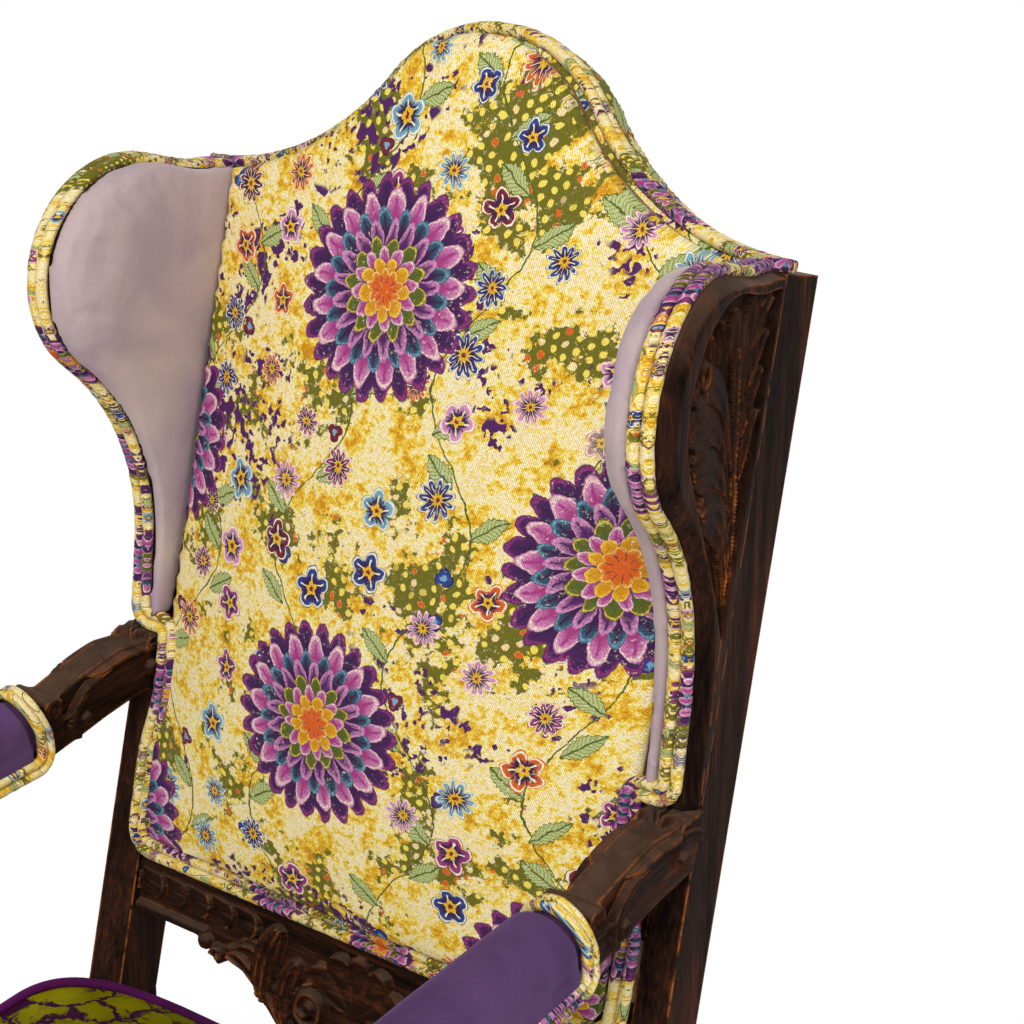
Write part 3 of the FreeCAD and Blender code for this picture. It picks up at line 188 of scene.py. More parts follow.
def clouds(place, scale, detail=2.0, roughness=0.5, distortion=0.0):
    """Soft noise, about 0.5 on average."""
    inputs = {"Vector": place, "Scale": scale, "Detail": detail, "Roughness": roughness,
              "Distortion": distortion}
    return place.make("ShaderNodeTexNoise", "Fac", inputs)


def cracks(place, scale):
    """Distance to the nearest edge between irregular cells."""
    inputs = {"Vector": place, "Scale": scale}
    return place.make("ShaderNodeTexVoronoi", "Distance", inputs, feature="DISTANCE_TO_EDGE")


def mix(factor, a, b):
    """Colour a where factor is 0 and b where it is 1."""
    return factor.make("ShaderNodeMix", 2, {0: factor, 6: a, 7: b}, data_type="RGBA")


def painted(colour, *layers):
    """A colour with others laid over it in turn, each by its share."""
    for share, tone in layers:
        colour = mix(share, colour, tone)
    return colour


def ramp(field, stops, interpolation="LINEAR"):
    """Colours by a field's value, from (position, colour) stops."""
    colour = field.make("ShaderNodeValToRGB", 0, {0: field})
    band = colour.socket.node.color_ramp
    band.interpolation = interpolation
    while len(band.elements) < len(stops):
        band.elements.new(1)
    for element, (position, tone) in zip(band.elements, stops):
        element.position = position
        element.color = (*tone, 1)
    return colour


def bump(height, distance, strength):
    """A normal roughened by a height field; distance is in metres."""
    return height.make("ShaderNodeBump", 0, {"Distance": distance, "Strength": strength, "Height": height})


def srgb(*levels):
    """A colour as seen on screen, 0 to 255, as the linear values that shaders use."""
    shares = [level / 255 for level in levels]
    return tuple(c / 12.92 if c <= 0.04 else ((c + 0.055) / 1.055) ** 2.4 for c in shares)


def new_material(name):
    """A material, and the place of each point on it in metres."""
    material = bpy.data.materials.new(name)
    material.use_nodes = True
    return material, Field(material.node_tree.nodes.new("ShaderNodeTexCoord").outputs["Object"])


def coat(material, colour, roughness, specular, **others):
    """Sets what a material's shader shows; the others are its inputs by name, with _ for a space."""
    inputs = {"Base Color": colour, "Roughness": roughness, "Specular IOR Level": specular}
    inputs |= {name.replace("_", " "): value for name, value in others.items()}
    for name, value in inputs.items():
        plug(value, material.node_tree.nodes["Principled BSDF"].inputs[name])
    return material


# Oak

OAK_DARK = srgb(18, 11, 9)
OAK_MIDDLE = srgb(45, 27, 20)
OAK_STREAK = srgb(94, 48, 26)
OAK_WORN = srgb(176, 98, 42)
OAK_DUST = srgb(96, 84, 72)
# Painted sheen: a lighter greyish brown for faces that point up, in place of the lamps' reflection
OAK_PAINTED_SHEEN = srgb(112, 88, 72)
# Painted shade: a near black laid into the hollows to darken them
OAK_PAINTED_SHADE = srgb(8, 5, 4)
OAK_GRAIN = 16.0
OAK_WORN_EDGE = 0.0035
OAK_HOLLOW = 0.012


def oak(name, along):
    """Dark stained oak with its grain along one axis, worn on the edges and dusty in the hollows, with
    painted shade in the hollows and a painted sheen on faces that point up.
    """
    material, place = new_material(name)
    scale = [1.0 if axis == along else OAK_GRAIN for axis in range(3)]
    fibre = mapped(place, scale=tuple(scale))
    broad = clouds(fibre, 3.2, 4, 0.62, 0.4)
    fine = clouds(fibre, 26, 3, 0.6)
    pores = clouds(mapped(place, scale=tuple(s * s for s in scale)), 4.5)
    patches = clouds(place, 60, 4, 0.65)
    edge = place.make("ShaderNodeBevel", 0, {"Radius": OAK_WORN_EDGE}, samples=6)
    facing = place.make("ShaderNodeNewGeometry", "Normal", {})
    bend = place.make("ShaderNodeVectorMath", "Value", {0: edge, 1: facing}, operation="DOT_PRODUCT")
    shade = place.make("ShaderNodeAmbientOcclusion", "AO", {"Distance": OAK_HOLLOW}, samples=6)
    rubbed = bend.rise(0.996, 0.88) * patches.rise(0.40, 0.58) * shade.rise(0.45, 0.7)
    # Painted shade: the more closed in a hollow is, the darker it is painted
    painted_hollow_shade = shade.rise(0.82, 0.42) * 0.9
    # Painted sheen: faces that point up are made lighter in patches, as if they caught the light
    painted_sheen_on_tops = split(facing)[2].rise(0.25, 0.95) * (patches * 0.6 + 0.1)
    dust = shade.rise(0.72, 0.3) * clouds(place, 130, 3, 0.7).rise(0.42, 0.66) * 0.3
    colour = ramp(broad * 0.62 + fine * 0.38, [(0.38, OAK_DARK), (0.52, OAK_MIDDLE), (0.70, OAK_STREAK)])
    # Painted shade in the hollows and painted sheen on upward faces, then real wear on the edges and dust
    colour = painted(colour, (painted_hollow_shade, OAK_PAINTED_SHADE), (painted_sheen_on_tops, OAK_PAINTED_SHEEN), (rubbed, OAK_WORN), (dust, OAK_DUST))
    relief = bump(pores.rise(0.62, 0.45) * 0.7 + fine * 0.5, 0.0004, 0.6)
    return coat(material, colour, patches * 0.3 + 0.28 + dust * 0.3, 0.01, Normal=relief)


# Cloths

VELVET_NAP = 900.0
STEEL = srgb(70, 68, 66)
RUST = srgb(96, 70, 52)


def pile(material, colour, nap, specular, sheen, tint, relief):
    """What velvets share: a rough nap that shines a little at a slant."""
    return coat(material, colour, nap * 0.2 + 0.7, specular, Sheen_Weight=sheen, Sheen_Roughness=0.35,
                Sheen_Tint=tint, Normal=relief)


def velvet(name, dark, light, tint):
    """Plain velvet: a soft pile whose lie makes lighter and darker patches."""
    material, place = new_material(name)
    lie = clouds(place, 9, 4, 0.6, 0.6)
    nap = clouds(place, VELVET_NAP, 2, 0.7)
    colour = ramp(lie * 0.75 + nap * 0.25, [(0.36, dark), (0.64, light)])
    return pile(material, colour, nap, 0.15, 0.35, tint, bump(nap + lie * 2, 0.0006, 0.5))


OLIVE_DARK = srgb(94, 86, 0)
OLIVE = srgb(126, 117, 0)
OLIVE_LIGHT = srgb(150, 141, 8)
CRACK_PURPLE = srgb(52, 10, 44)


def crackle_velvet(name):
    """Cut velvet: olive pile islands parted by dark lines that branch like crackle."""
    material, place = new_material(name)
    x, y, z = split(place)
    warp_x = x + clouds(place, 30, 5, 0.7) * 0.06
    warp_y = y + clouds(mapped(place, shift=(3, 1, 2)), 30, 5, 0.7) * 0.06
    warped = gather(warp_x, warp_y, z * 0.4)
    thin = cracks(warped, 40).rise(0.070, 0.035) * clouds(place, 13).rise(0.5, 0.58)
    line = cracks(warped, 15).rise(0.050, 0.022).either(thin)
    nap = clouds(place, VELVET_NAP, 2, 0.7)
    lie = clouds(place, 11, 3, 0.6)
    island = ramp(lie * 0.7 + nap * 0.3, [(0.36, OLIVE_DARK), (0.5, OLIVE), (0.66, OLIVE_LIGHT)])
    colour = mix(line, island, CRACK_PURPLE)
    return pile(material, colour, nap, 0.04, 0.08, OLIVE_LIGHT, bump(nap * 0.2 - line, 0.0012, 0.8))


def plain_weave(name, dark, light, threads):
    """A plain woven cloth with that many threads to the metre."""
    material, place = new_material(name)
    x, y, z = split(place)
    slub = clouds(place, threads / 20, 3, 0.7)
    turn = 2 * math.pi * threads
    weave = (x * turn).math("SINE") * ((y + z) * turn).math("SINE")
    colour = ramp(slub * 0.8 + weave * 0.1, [(0.3, dark), (0.6, light)])
    return coat(material, colour, 0.9, 0.1, Normal=bump(weave + slub, 0.0004, 0.6))


def steel(name):
    """Blackened steel of old screws."""
    material, place = new_material(name)
    rust = clouds(place, 300, 4, 0.7)
    colour = ramp(rust, [(0.4, STEEL), (0.7, RUST)])
    return coat(material, colour, rust * 0.4 + 0.25, 0.5, Metallic=1.0)


# Printed cloth: a generic flowered design

CREAM = srgb(252, 243, 208)
PEACH = srgb(247, 218, 160)
LEMON = srgb(249, 224, 96)
GOLD = srgb(238, 188, 44)
OCHRE = srgb(212, 146, 22)
PRINT_OLIVE = srgb(112, 108, 30)
PRINT_PURPLE = srgb(84, 36, 96)
DEEP_PURPLE = srgb(58, 30, 74)
MAGENTA = srgb(166, 60, 130)
PINK = srgb(222, 150, 196)
TEAL = srgb(52, 104, 118)
SKY = srgb(122, 172, 200)
BLUE = srgb(42, 70, 146)
BURGUNDY = srgb(122, 36, 54)
ORANGE = srgb(222, 100, 34)
LEAF_PALE = srgb(190, 200, 132)
LEAF_DARK = srgb(84, 98, 36)

ROSE_PITCH_X = 0.235
ROSE_PITCH_V = 0.350
ROSE_R = 0.086
POSY_PITCH = 0.052
VINE_PITCH = 0.130
VINE_WAVE = 0.230
VINE_SWAY = 0.030
VINE_LEAF_STEP = 0.036
DOT_PITCH = 0.0095
TWILL_PITCH = 0.0017
TWILL_SHADE = srgb(206, 200, 194)
WHITE = (1, 1, 1)


def chances(column, row):
    """Three random numbers that belong to a column and row."""
    place = gather(column, row, 0.0)
    return split(place.make("ShaderNodeTexWhiteNoise", "Color", {"Vector": place}, noise_dimensions="2D"))


def cells(x, y, pitch_x, pitch_y):
    """Half-drop repeats: the place from a cell's middle, and three random numbers of that cell."""
    column = (x / pitch_x).math("FLOOR")
    across = (x / pitch_x - column - 0.5) * pitch_x
    lowered = y / pitch_y + column * 0.5
    row = lowered.math("FLOOR")
    up = (lowered - row - 0.5) * pitch_y
    return across, up, chances(column, row)


def polar(across, up):
    """Distance from the middle, and angle in turns."""
    radius = (across * across + up * up).math("SQRT")
    return radius, up.math("ARCTAN2", across) / (2 * math.pi)


def petals(radius, turns, count, reach, depth):
    """How far out a point is on a ring of petals, 1 at the rim, and how far off a petal's middle."""
    share = turns * count
    off = (share - share.math("FLOOR") - 0.5).size() * 2
    return radius / ((off * off * -depth + 1) * reach), off


def shards(place, scale, share):
    """Angular chips: that share of the cells of a broken net, picked by chance."""
    inputs = {"Vector": place, "Scale": scale}
    colour = place.make("ShaderNodeTexVoronoi", "Color", inputs, distance="MANHATTAN")
    return split(colour)[0].rise(1 - share, 1.01 - share)


def print_ground(place, x, y):
    """Finely mottled cream, lemon and gold, with dotted olive patches and purple shards."""
    mottle = clouds(place, 26, 5, 0.7) * 0.55 + clouds(place, 170, 3, 0.75) * 0.45
    ground = ramp(mottle, [(0.40, OCHRE), (0.45, GOLD), (0.49, LEMON), (0.53, CREAM), (0.57, PEACH),
                           (0.60, LEMON)])
    patch = clouds(mapped(place, shift=(0.7, 0.2, 0)), 8.5, 7, 0.72).rise(0.535, 0.55)
    across, up, chance = cells(x, y, DOT_PITCH, DOT_PITCH)
    dot = polar(across, up)[0].rise(0.0030, 0.0023) * chance[0].rise(0.1, 0.2)
    square = across.size().either(up.size()).rise(0.0026, 0.0021)
    spot = mix(chance[1].rise(0.75, 0.76), LEMON, PEACH)
    dotted = painted(PRINT_OLIVE, (dot, spot), (square * chance[2].rise(0.86, 0.87), ORANGE))
    cluster = clouds(mapped(place, shift=(2.1, 5.2, 0)), 8, 3, 0.6)
    chip = shards(gather(x, y, 0.0), 95, 0.22) * cluster.rise(0.58, 0.60)
    chip = chip.either(shards(gather(x, y, 0.3), 200, 0.18) * cluster.rise(0.54, 0.56))
    return painted(ground, (patch, dotted), (chip, PRINT_PURPLE))


def blade(along, aside, length, half):
    """Inside a leaf that starts at along 0, with a toothed edge; and its ribs."""
    aside = aside.size()
    reach = along / (length / 2) - 1
    tooth = (along * 1500).math("SINE") * 0.10 + 1
    edge = (reach * reach * -1 + 1) * half * tooth - aside
    vein = ((along - aside) * 1700).math("SINE").rise(0.5, 0.8) * 0.6
    ribs = aside.rise(0.0009, 0.0005).either(vein).either(edge.rise(0.0011, 0.0006))
    return edge.rise(-0.0002, 0.0003), ribs


def print_vines(colour, x, y):
    """Wavy stems with leaves on both sides, some with berries in their place."""
    column = (x / VINE_PITCH).math("FLOOR")
    across = (x / VINE_PITCH - column - 0.5) * VINE_PITCH
    row = (y / VINE_LEAF_STEP + column * 0.37).math("FLOOR")
    middle = (row + 0.5 - column * 0.37) * VINE_LEAF_STEP
    stem, knot = ((level * (2 * math.pi / VINE_WAVE) + column * 2.1).math("SINE") * VINE_SWAY
                  for level in (y, middle))
    hand = (row * 0.5 - (row * 0.5).math("FLOOR")) * 4 - 1
    out = (across - knot) * hand
    up = y - middle + 0.008
    inside, ribs = blade(out * 0.82 + up * 0.57, up * 0.82 - out * 0.57, 0.036, 0.0082)
    chance = chances(column, row)
    leafy = chance[0].rise(0.26, 0.27)
    radius, turns = polar(out - 0.012, up - 0.005)
    rim, _ = petals(radius, turns + chance[1], 3, 0.0085, 0.35)
    fruit = painted(BLUE, (chance[2].rise(0.55, 0.56), BURGUNDY), (rim.rise(0.8, 0.9), DEEP_PURPLE),
                    (rim.rise(0.42, 0.34), SKY))
    return painted(colour, ((across - stem).size().rise(0.0010, 0.0006), LEAF_DARK),
                   (inside * leafy, mix(ribs, LEAF_PALE, LEAF_DARK)),
                   (rim.rise(1.03, 0.97) * leafy.rise(0.5, 0.4), fruit))


POSY_COLOURS = [(0.0, BLUE), (0.18, SKY), (0.40, BURGUNDY), (0.52, ORANGE), (0.68, PINK), (0.82, MAGENTA)]


def print_posies(colour, x, y):
    """Small flowers in several colours, each its own size, some of them narrow-petalled."""
    across, up, chance = cells(x + 0.011, y + 0.023, POSY_PITCH, POSY_PITCH)
    across = across + (chance[0] - 0.5) * 0.018
    up = up + (chance[1] - 0.5) * 0.018
    radius, turns = polar(across, up)
    petal = ramp(chance[2], POSY_COLOURS, "CONSTANT")
    size = chance[0] * 0.006 + 0.0125
    for count, depth, low, high in ((5, 0.42, 0.34, 0.68), (11, 0.55, 0.68, 1.1)):
        rim, off = petals(radius, turns + chance[1], count, 1.0, depth)
        rim = rim / size
        picked = chance[1].rise(low, low + 0.01) * chance[1].rise(high + 0.01, high)
        flower = painted(
            DEEP_PURPLE,
            (rim.rise(0.45, 0.8), petal),
            (rim.rise(0.84, 0.88) * rim.rise(0.97, 0.93), CREAM),
            (off.rise(0.16, 0.08) * rim.rise(0.7, 0.6), CREAM),
            (off.rise(0.84, 0.94) * rim.rise(0.3, 0.5), DEEP_PURPLE),
            (rim.rise(0.36, 0.30), GOLD),
            (rim.rise(0.15, 0.11), BURGUNDY),
        )
        colour = mix(rim.rise(1.02, 0.98) * picked, colour, flower)
    return colour


# Each ring of a rose: petals, reach, how pointed, how far turned, and colours of heart, body and edge
ROSE_RINGS = [
    (26, 1.00, 0.16, 0.0, DEEP_PURPLE, PRINT_PURPLE, MAGENTA),
    (17, 0.88, 0.34, 0.0, MAGENTA, PINK, CREAM),
    (17, 0.72, 0.36, 0.5, DEEP_PURPLE, TEAL, SKY),
    (17, 0.62, 0.40, 0.0, PRINT_PURPLE, PINK, PINK),
    (12, 0.47, 0.34, 0.5, LEAF_DARK, PRINT_OLIVE, LEMON),
    (12, 0.38, 0.36, 0.0, MAGENTA, PINK, CREAM),
    (9, 0.29, 0.30, 0.5, OCHRE, GOLD, LEMON),
    (9, 0.19, 0.30, 0.0, ORANGE, GOLD, CREAM),
]


def print_roses(colour, place, x, y):
    """Large round flowers of many layered petals in staggered columns, stippled as if stitched."""
    across, up, _ = cells(x + ROSE_PITCH_X * 0.62, y + 0.075, ROSE_PITCH_X, ROSE_PITCH_V)
    radius, turns = polar(across, up)
    radius = radius / ROSE_R
    stitch = clouds(place, 520, 2, 0.7).rise(0.44, 0.60)
    for count, reach, depth, start, heart, body, edge in ROSE_RINGS:
        rim, off = petals(radius, turns + start / count, count, reach, depth)
        petal = painted(
            heart,
            (rim.rise(0.72, 0.95) * (stitch * 0.5 + 0.5), body),
            (rim.rise(0.925, 0.945) * rim.rise(0.99, 0.97) * (stitch * 0.6 + 0.3), edge),
            (off.rise(0.13, 0.06) * rim.rise(0.94, 0.88), heart),
            (off.rise(0.80, 0.93) * (stitch * 0.4 + 0.6), DEEP_PURPLE),
        )
        colour = mix(rim.rise(1.01, 0.985), colour, petal)
    return mix(radius.rise(0.075, 0.065), colour, ORANGE)


def print_group():
    """The printed design as a node group: a place on the cloth in, its colour out."""
    tree = bpy.data.node_groups.new("flowered_print", "ShaderNodeTree")
    tree.interface.new_socket("Place", in_out="INPUT", socket_type="NodeSocketVector")
    tree.interface.new_socket("Colour", in_out="OUTPUT", socket_type="NodeSocketColor")
    place = Field(tree.nodes.new("NodeGroupInput").outputs[0])
    x, y, _ = split(place)
    x = x + clouds(place, 45, 3, 0.6) * 0.010
    y = y + clouds(mapped(place, shift=(4, 7, 0)), 45, 3, 0.6) * 0.010
    colour = print_ground(place, x, y)
    colour = print_vines(colour, x, y)
    colour = print_posies(colour, x, y)
    colour = print_roses(colour, place, x, y)
    worn = clouds(place, 240, 4, 0.8).rise(0.575, 0.65) * clouds(place, 14).rise(0.4, 0.6) * 0.75
    plug(mix(worn, colour, CREAM), tree.nodes.new("NodeGroupOutput").inputs[0])
    return tree


PRINT = print_group()


def printed(name, turn, shift=(0, 0, 0), scale=1.0):
    """Twill with the printed design, laid on by a turn that brings the cloth's plane to x and y."""
    material, place = new_material(name)
    x, y, depth = split(mapped(place, turn=turn, shift=shift, scale=(scale,) * 3))
    x = x + depth * 0.5
    y = y + depth * 0.8
    laid = gather(x, y, 0.0)
    design = laid.make("ShaderNodeGroup", 0, {0: laid}, node_tree=PRINT)
    twill = ((x + y * 0.6) * (2 * math.pi / TWILL_PITCH)).math("SINE")
    thread = clouds(laid, 700, 2, 0.6)
    shade = ramp(twill * 0.16 + thread, [(0.25, TWILL_SHADE), (0.6, WHITE)])
    inputs = {0: 1.0, 6: design, 7: shade}
    colour = design.make("ShaderNodeMix", 2, inputs, data_type="RGBA", blend_type="MULTIPLY")
    return coat(material, colour, 0.8, 0.2, Normal=bump(twill * 0.6 + thread, 0.0002, 0.5))


TO_BACK = RAKE - math.pi / 2

OAK_ACROSS = oak("oak_across", 0)
OAK_FORWARD = oak("oak_forward", 1)
OAK_UP = oak("oak_up", 2)
BACK_PRINT = printed("back_print", (TO_BACK, 0, 0))
WELT_PRINT = printed("welt_print", (TO_BACK, 0, math.radians(45)), (0.31, 0.17, 0), 2.6)
ARM_PRINT = printed("arm_print", (0, 0, math.radians(40)), (0.12, 0.43, 0), 2.6)
WING_VELVET = velvet("wing_velvet", srgb(168, 146, 158), srgb(198, 178, 170), srgb(205, 195, 205))
ARM_VELVET = velvet("arm_velvet", srgb(66, 40, 79), srgb(96, 67, 110), srgb(140, 110, 160))
PIPING_VELVET = velvet("piping_velvet", srgb(58, 4, 56), srgb(88, 12, 82), srgb(120, 50, 120))
SEAT_VELVET = crackle_velvet("seat_velvet")
WEBBING = plain_weave("webbing", srgb(112, 84, 52), srgb(164, 132, 90), 900)
HESSIAN = plain_weave("hessian", srgb(120, 94, 60), srgb(176, 146, 104), 600)
DUST_CLOTH = plain_weave("dust_cloth", srgb(18, 18, 20), srgb(40, 40, 42), 1100)
SCREW_STEEL = steel("screw_steel")


# Pieces


def dress(piece, material, slot, *nodes):
    """Gives a piece its material, hides the nodes it stands for, and hangs it on the chair; slot is not
    used.
    """
    piece.data.materials.clear()
    piece.data.materials.append(material)
    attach(piece, "root")
    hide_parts(*nodes)
    return piece


def smooth(mesh):
    mesh.polygons.foreach_set("use_smooth", [True] * len(mesh.polygons))


def add_object(name, data):
    """A new object in the scene."""
    piece = bpy.data.objects.new(name, data)
    scene.collection.objects.link(piece)
    return piece


def settle(piece):
    """Applies a piece's modifiers to its mesh."""
    depsgraph = bpy.context.evaluated_depsgraph_get()
    mesh = bpy.data.meshes.new_from_object(piece.evaluated_get(depsgraph))
    piece.modifiers.clear()
    piece.data = mesh
    smooth(mesh)


def points_of(piece, what="co"):
    """A piece's points, or their normals, as an array."""
    points = np.zeros(len(piece.data.vertices) * 3)
    piece.data.vertices.foreach_get(what, points)
    return points.reshape(-1, 3)


def put_points(piece, points):
    piece.data.vertices.foreach_set("co", points.ravel())
    piece.data.update()


def puffed(piece, distance):
    """A piece's points moved out along their normals."""
    return points_of(piece) + points_of(piece, "normal") * distance


def remeshed(name, node, voxel, rounds):
    """A copy of a node's mesh, remade in even faces and smoothed."""
    piece = add_object(name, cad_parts[node].data.copy())
    remesh = piece.modifiers.new("remesh", "REMESH")
    remesh.mode = "VOXEL"
    remesh.voxel_size = voxel
    relax = piece.modifiers.new("smooth", "SMOOTH")
    relax.iterations = rounds
    settle(piece)
    return piece


SOFT_FRAMES = 20
SOFT_PRESSURE = 4.0


def make_soft(piece, outward, held, shrink):
    """Draws a pad in a little, then gives it cloth that swells; points low along outward stay held."""
    points = points_of(piece)
    depth = points @ np.array(outward)
    fixed = np.nonzero(depth < depth.min() + held)[0]
    drawn = puffed(piece, -shrink)
    drawn[fixed] = points[fixed]
    put_points(piece, drawn)
    group = piece.vertex_groups.new(name="held")
    group.add(fixed.tolist(), 1.0, "REPLACE")
    cloth = piece.modifiers.new("cloth", "CLOTH")
    cloth.settings.quality = 4
    cloth.settings.use_pressure = True
    cloth.settings.uniform_pressure_force = SOFT_PRESSURE
    cloth.settings.vertex_group_mass = "held"
    cloth.settings.effector_weights.gravity = 0
    cloth.point_cache.frame_end = SOFT_FRAMES


def swell(pads):
    """Runs the cloth of all the pads together, caps how far each point moves and keeps the result."""
    starts = {piece: points_of(piece) for piece, _ in pads}
    for step in range(1, SOFT_FRAMES + 1):
        scene.frame_set(step)
    for piece, cap in pads:
        settle(piece)
        moves = points_of(piece) - starts[piece]
        length = np.linalg.norm(moves, axis=1, keepdims=True)
        moves *= cap * np.tanh(length / cap) / np.maximum(length, 1e-9)
        put_points(piece, starts[piece] + moves)
    scene.frame_set(1)


# Lines and grids


def evenly(points, step):
    """The same line with its points an even step apart."""
    runs = np.linalg.norm(np.diff(points, axis=0), axis=1)
    reach = np.concatenate([[0], np.cumsum(runs)])
    places = np.linspace(0, reach[-1], max(2, int(reach[-1] / step)))
    return np.stack([np.interp(places, reach, axis) for axis in points.T], -1)


def arc(centre, radius, start, end):
    """Points on a circle in a plane, from one angle to another."""
    turn = np.linspace(start, end, 48)
    return np.stack([centre[0] + radius * np.cos(turn), centre[1] + radius * np.sin(turn)], -1)


def rounded(corners, radii):
    """A line through corners, each inner one rounded to its radius."""
    corners = [np.array(corner, float) for corner in corners]
    points = [corners[0]]
    for before, corner, after, radius in zip(corners, corners[1:], corners[2:], radii):
        back = unit(before - corner)
        onward = unit(after - corner)
        half = math.acos(np.clip(back.dot(onward), -1, 1)) / 2
        centre = corner + unit(back + onward) * radius / math.sin(half)
        start = corner + back * radius / math.tan(half) - centre
        end = corner + onward * radius / math.tan(half) - centre
        turn = math.pi - 2 * half
        for share in np.linspace(0, 1, 24):
            swing = start * math.sin((1 - share) * turn) + end * math.sin(share * turn)
            points.append(centre + swing / math.sin(turn))
    points.append(corners[-1])
    return np.array(points)


def bezier(controls, count=40):
    """A smooth run of points led by control points in millimetres."""
    share = np.linspace(0, 1, count)[:, None]
    levels = [np.array(point, float)[None, :] * MM for point in controls]
    while len(levels) > 1:
        levels = [a * (1 - share) + b * share for a, b in zip(levels, levels[1:])]
    return levels[0]


def tangents(line):
    """The direction of a line at each of its points."""
    step = np.gradient(line, axis=0)
    return step / np.linalg.norm(step, axis=1, keepdims=True)


def loop_object(name, *loops):
    """Closed forms, each from rows of points along it; the rows go round it and its two ends are filled."""
    points = []
    faces = []
    for loop in loops:
        rows, columns = loop.shape[:2]
        index = np.arange(rows * columns).reshape(rows, columns) + len(points)
        after = np.roll(index, -1, axis=0)
        sides = np.stack([index[:, :-1], index[:, 1:], after[:, 1:], after[:, :-1]], -1)
        faces += sides.reshape(-1, 4).tolist() + index[:, [0, -1]].T.tolist()
        points += loop.reshape(-1, 3).tolist()
    mesh = bpy.data.meshes.new(name)
    mesh.from_pydata(points, [], faces)
    form = bmesh.new()
    form.from_mesh(mesh)
    bmesh.ops.recalc_face_normals(form, faces=form.faces)
    form.to_mesh(mesh)
    form.free()
    smooth(mesh)
    return add_object(name, mesh)


# Carving: heights over a flat ground, in metres


def nearest(p, q, line):
    """How far along a line, 0 to 1, its nearest point is to each place, and how far off, signed by side."""
    along = np.zeros_like(p)
    off = np.full_like(p, 1e9)
    sign = np.ones_like(p)
    slope = np.gradient(line, axis=0)
    for index, (point, step) in enumerate(zip(line, slope)):
        away_p = p - point[0]
        away_q = q - point[1]
        distance = np.hypot(away_p, away_q)
        closer = distance < off
        off[closer] = distance[closer]
        along[closer] = index / (len(line) - 1)
        sign[closer] = np.sign(step[0] * away_q - step[1] * away_p)[closer]
    return along, off * sign


def softened(knots, places, step):
    """Heights at places along a line of knots in millimetres, its bends eased over a few steps."""
    knots = np.array(knots) * MM
    shifts = np.arange(-2, 3) * step * MM
    return np.mean([np.interp(places + shift, knots[:, 0], knots[:, 1]) for shift in shifts], axis=0)


def ease(low, high, value):
    """0 up to low, 1 from high on and smooth between, or the other way round where low is the larger."""
    share = np.clip((value - low) / (high - low), 0, 1)
    return share * share * (3 - 2 * share)


def bell(value, middle, width):
    """1 at the middle, falling away on both sides."""
    return np.exp(-((value - middle) / width) ** 2)


def dome(share):
    """The height of a half circle: 1 at 0, and 0 from 1 on."""
    return np.sqrt(np.clip(1 - share ** 2, 0, 1))


def leaf(p, q, controls, half, height, flutes=3, root=0.4, tip=0.3, depth=0.35, edge=0.4):
    """A fluted leaf along a curve, narrow at its root and round at its tip; sizes in millimetres.

    Edge is the share of its height that stands upright."""
    along, off = nearest(p, q, bezier(controls))
    round_tip = dome(np.clip((along - 1 + tip) / tip, 0, 1))
    width = half * MM * (0.25 + 0.75 * ease(0, root, along)) * round_tip + 1e-6
    across = off / width
    body = edge + (1 - edge) * dome(across)
    flute = 1 - depth * np.abs(np.sin(math.pi * flutes * (across + 1) / 2))
    return np.where(np.abs(across) < 1, height * MM * body * flute, 0)


def layered(shapes):
    """Heights of shapes laid one over another, each hiding what lies under it."""
    height = 0 * shapes[0]
    for shape in shapes:
        height = np.where(shape > 0, shape, height)
    return height


def boss(p, q, centre, radius, height):
    """A low dome; sizes in millimetres."""
    distance = np.hypot(p - centre[0] * MM, q - centre[1] * MM) / (radius * MM)
    return height * MM * dome(distance)


def volute(p, q, centre, radius, height, turns, hand):
    """A rolled spiral with a raised eye; sizes in millimetres."""
    away_p = p - centre[0] * MM
    away_q = q - centre[1] * MM
    distance = np.hypot(away_p, away_q) / (radius * MM)
    wind = turns * distance - hand * np.arctan2(away_q, away_p) / (2 * math.pi)
    ridge = 0.5 + 0.5 * np.cos(2 * math.pi * wind)
    body = (0.45 + 0.55 * ridge) * np.clip((1 - distance) * 6, 0, 1)
    return height * MM * np.maximum(body, dome(distance / 0.3))


# Lower back rail, carved

APRON_HALF = 0.2485
APRON_TOP = -0.158
APRON_FACE = -0.0082
APRON_BACK = -0.0322
APRON_STEP = 0.0012
APRON_ROWS = 110
APRON_UNDERSIDE = [(0, -291), (40, -290), (58, -284), (79, -272), (104, -251), (119, -241), (134, -237),
                   (143, -238), (149, -246), (157, -238), (160, -234), (167, -238), (175, -228), (249, -228)]
FILLET_LOW = -0.1847
FILLET_T = 0.004
COIN_PITCH = 0.027
COIN_FIRST = 0.110
COIN_MIDDLE = -0.1985
COIN_HALF = 0.0118
COIN_T = 0.0052
BEAD_V = -0.2225
BEAD_R = 0.0055
BEAD_END = 0.166
SHELL_V = -0.241
SHELL_R = 0.047
SHELL_SCALLOP = 0.010
SHELL_LOBES = 6
SHELL_FAN = math.radians(164)
# Leaves as control points, half width, height, flutes, root, tip and depth of flutes; later ones lie on top
APRON_LEAVES = [
    ([(150, -233), (118, -222), (92, -256), (62, -292)], 15, 8.5, 3, 0.3, 0.1),
    ([(140, -228), (118, -212), (104, -214), (97, -232)], 8, 7.5, 2),
    ([(92, -268), (104, -236), (100, -208), (85, -188)], 12, 12.5, 3, 0.4, 0.35, 0.4),
    ([(66, -280), (78, -250), (74, -226), (61, -210)], 9.5, 12.0, 2, 0.4, 0.4, 0.4),
    ([(36, -262), (20, -274), (0, -270)], 9, 8.5, 2, 0.2, 0.1),
]


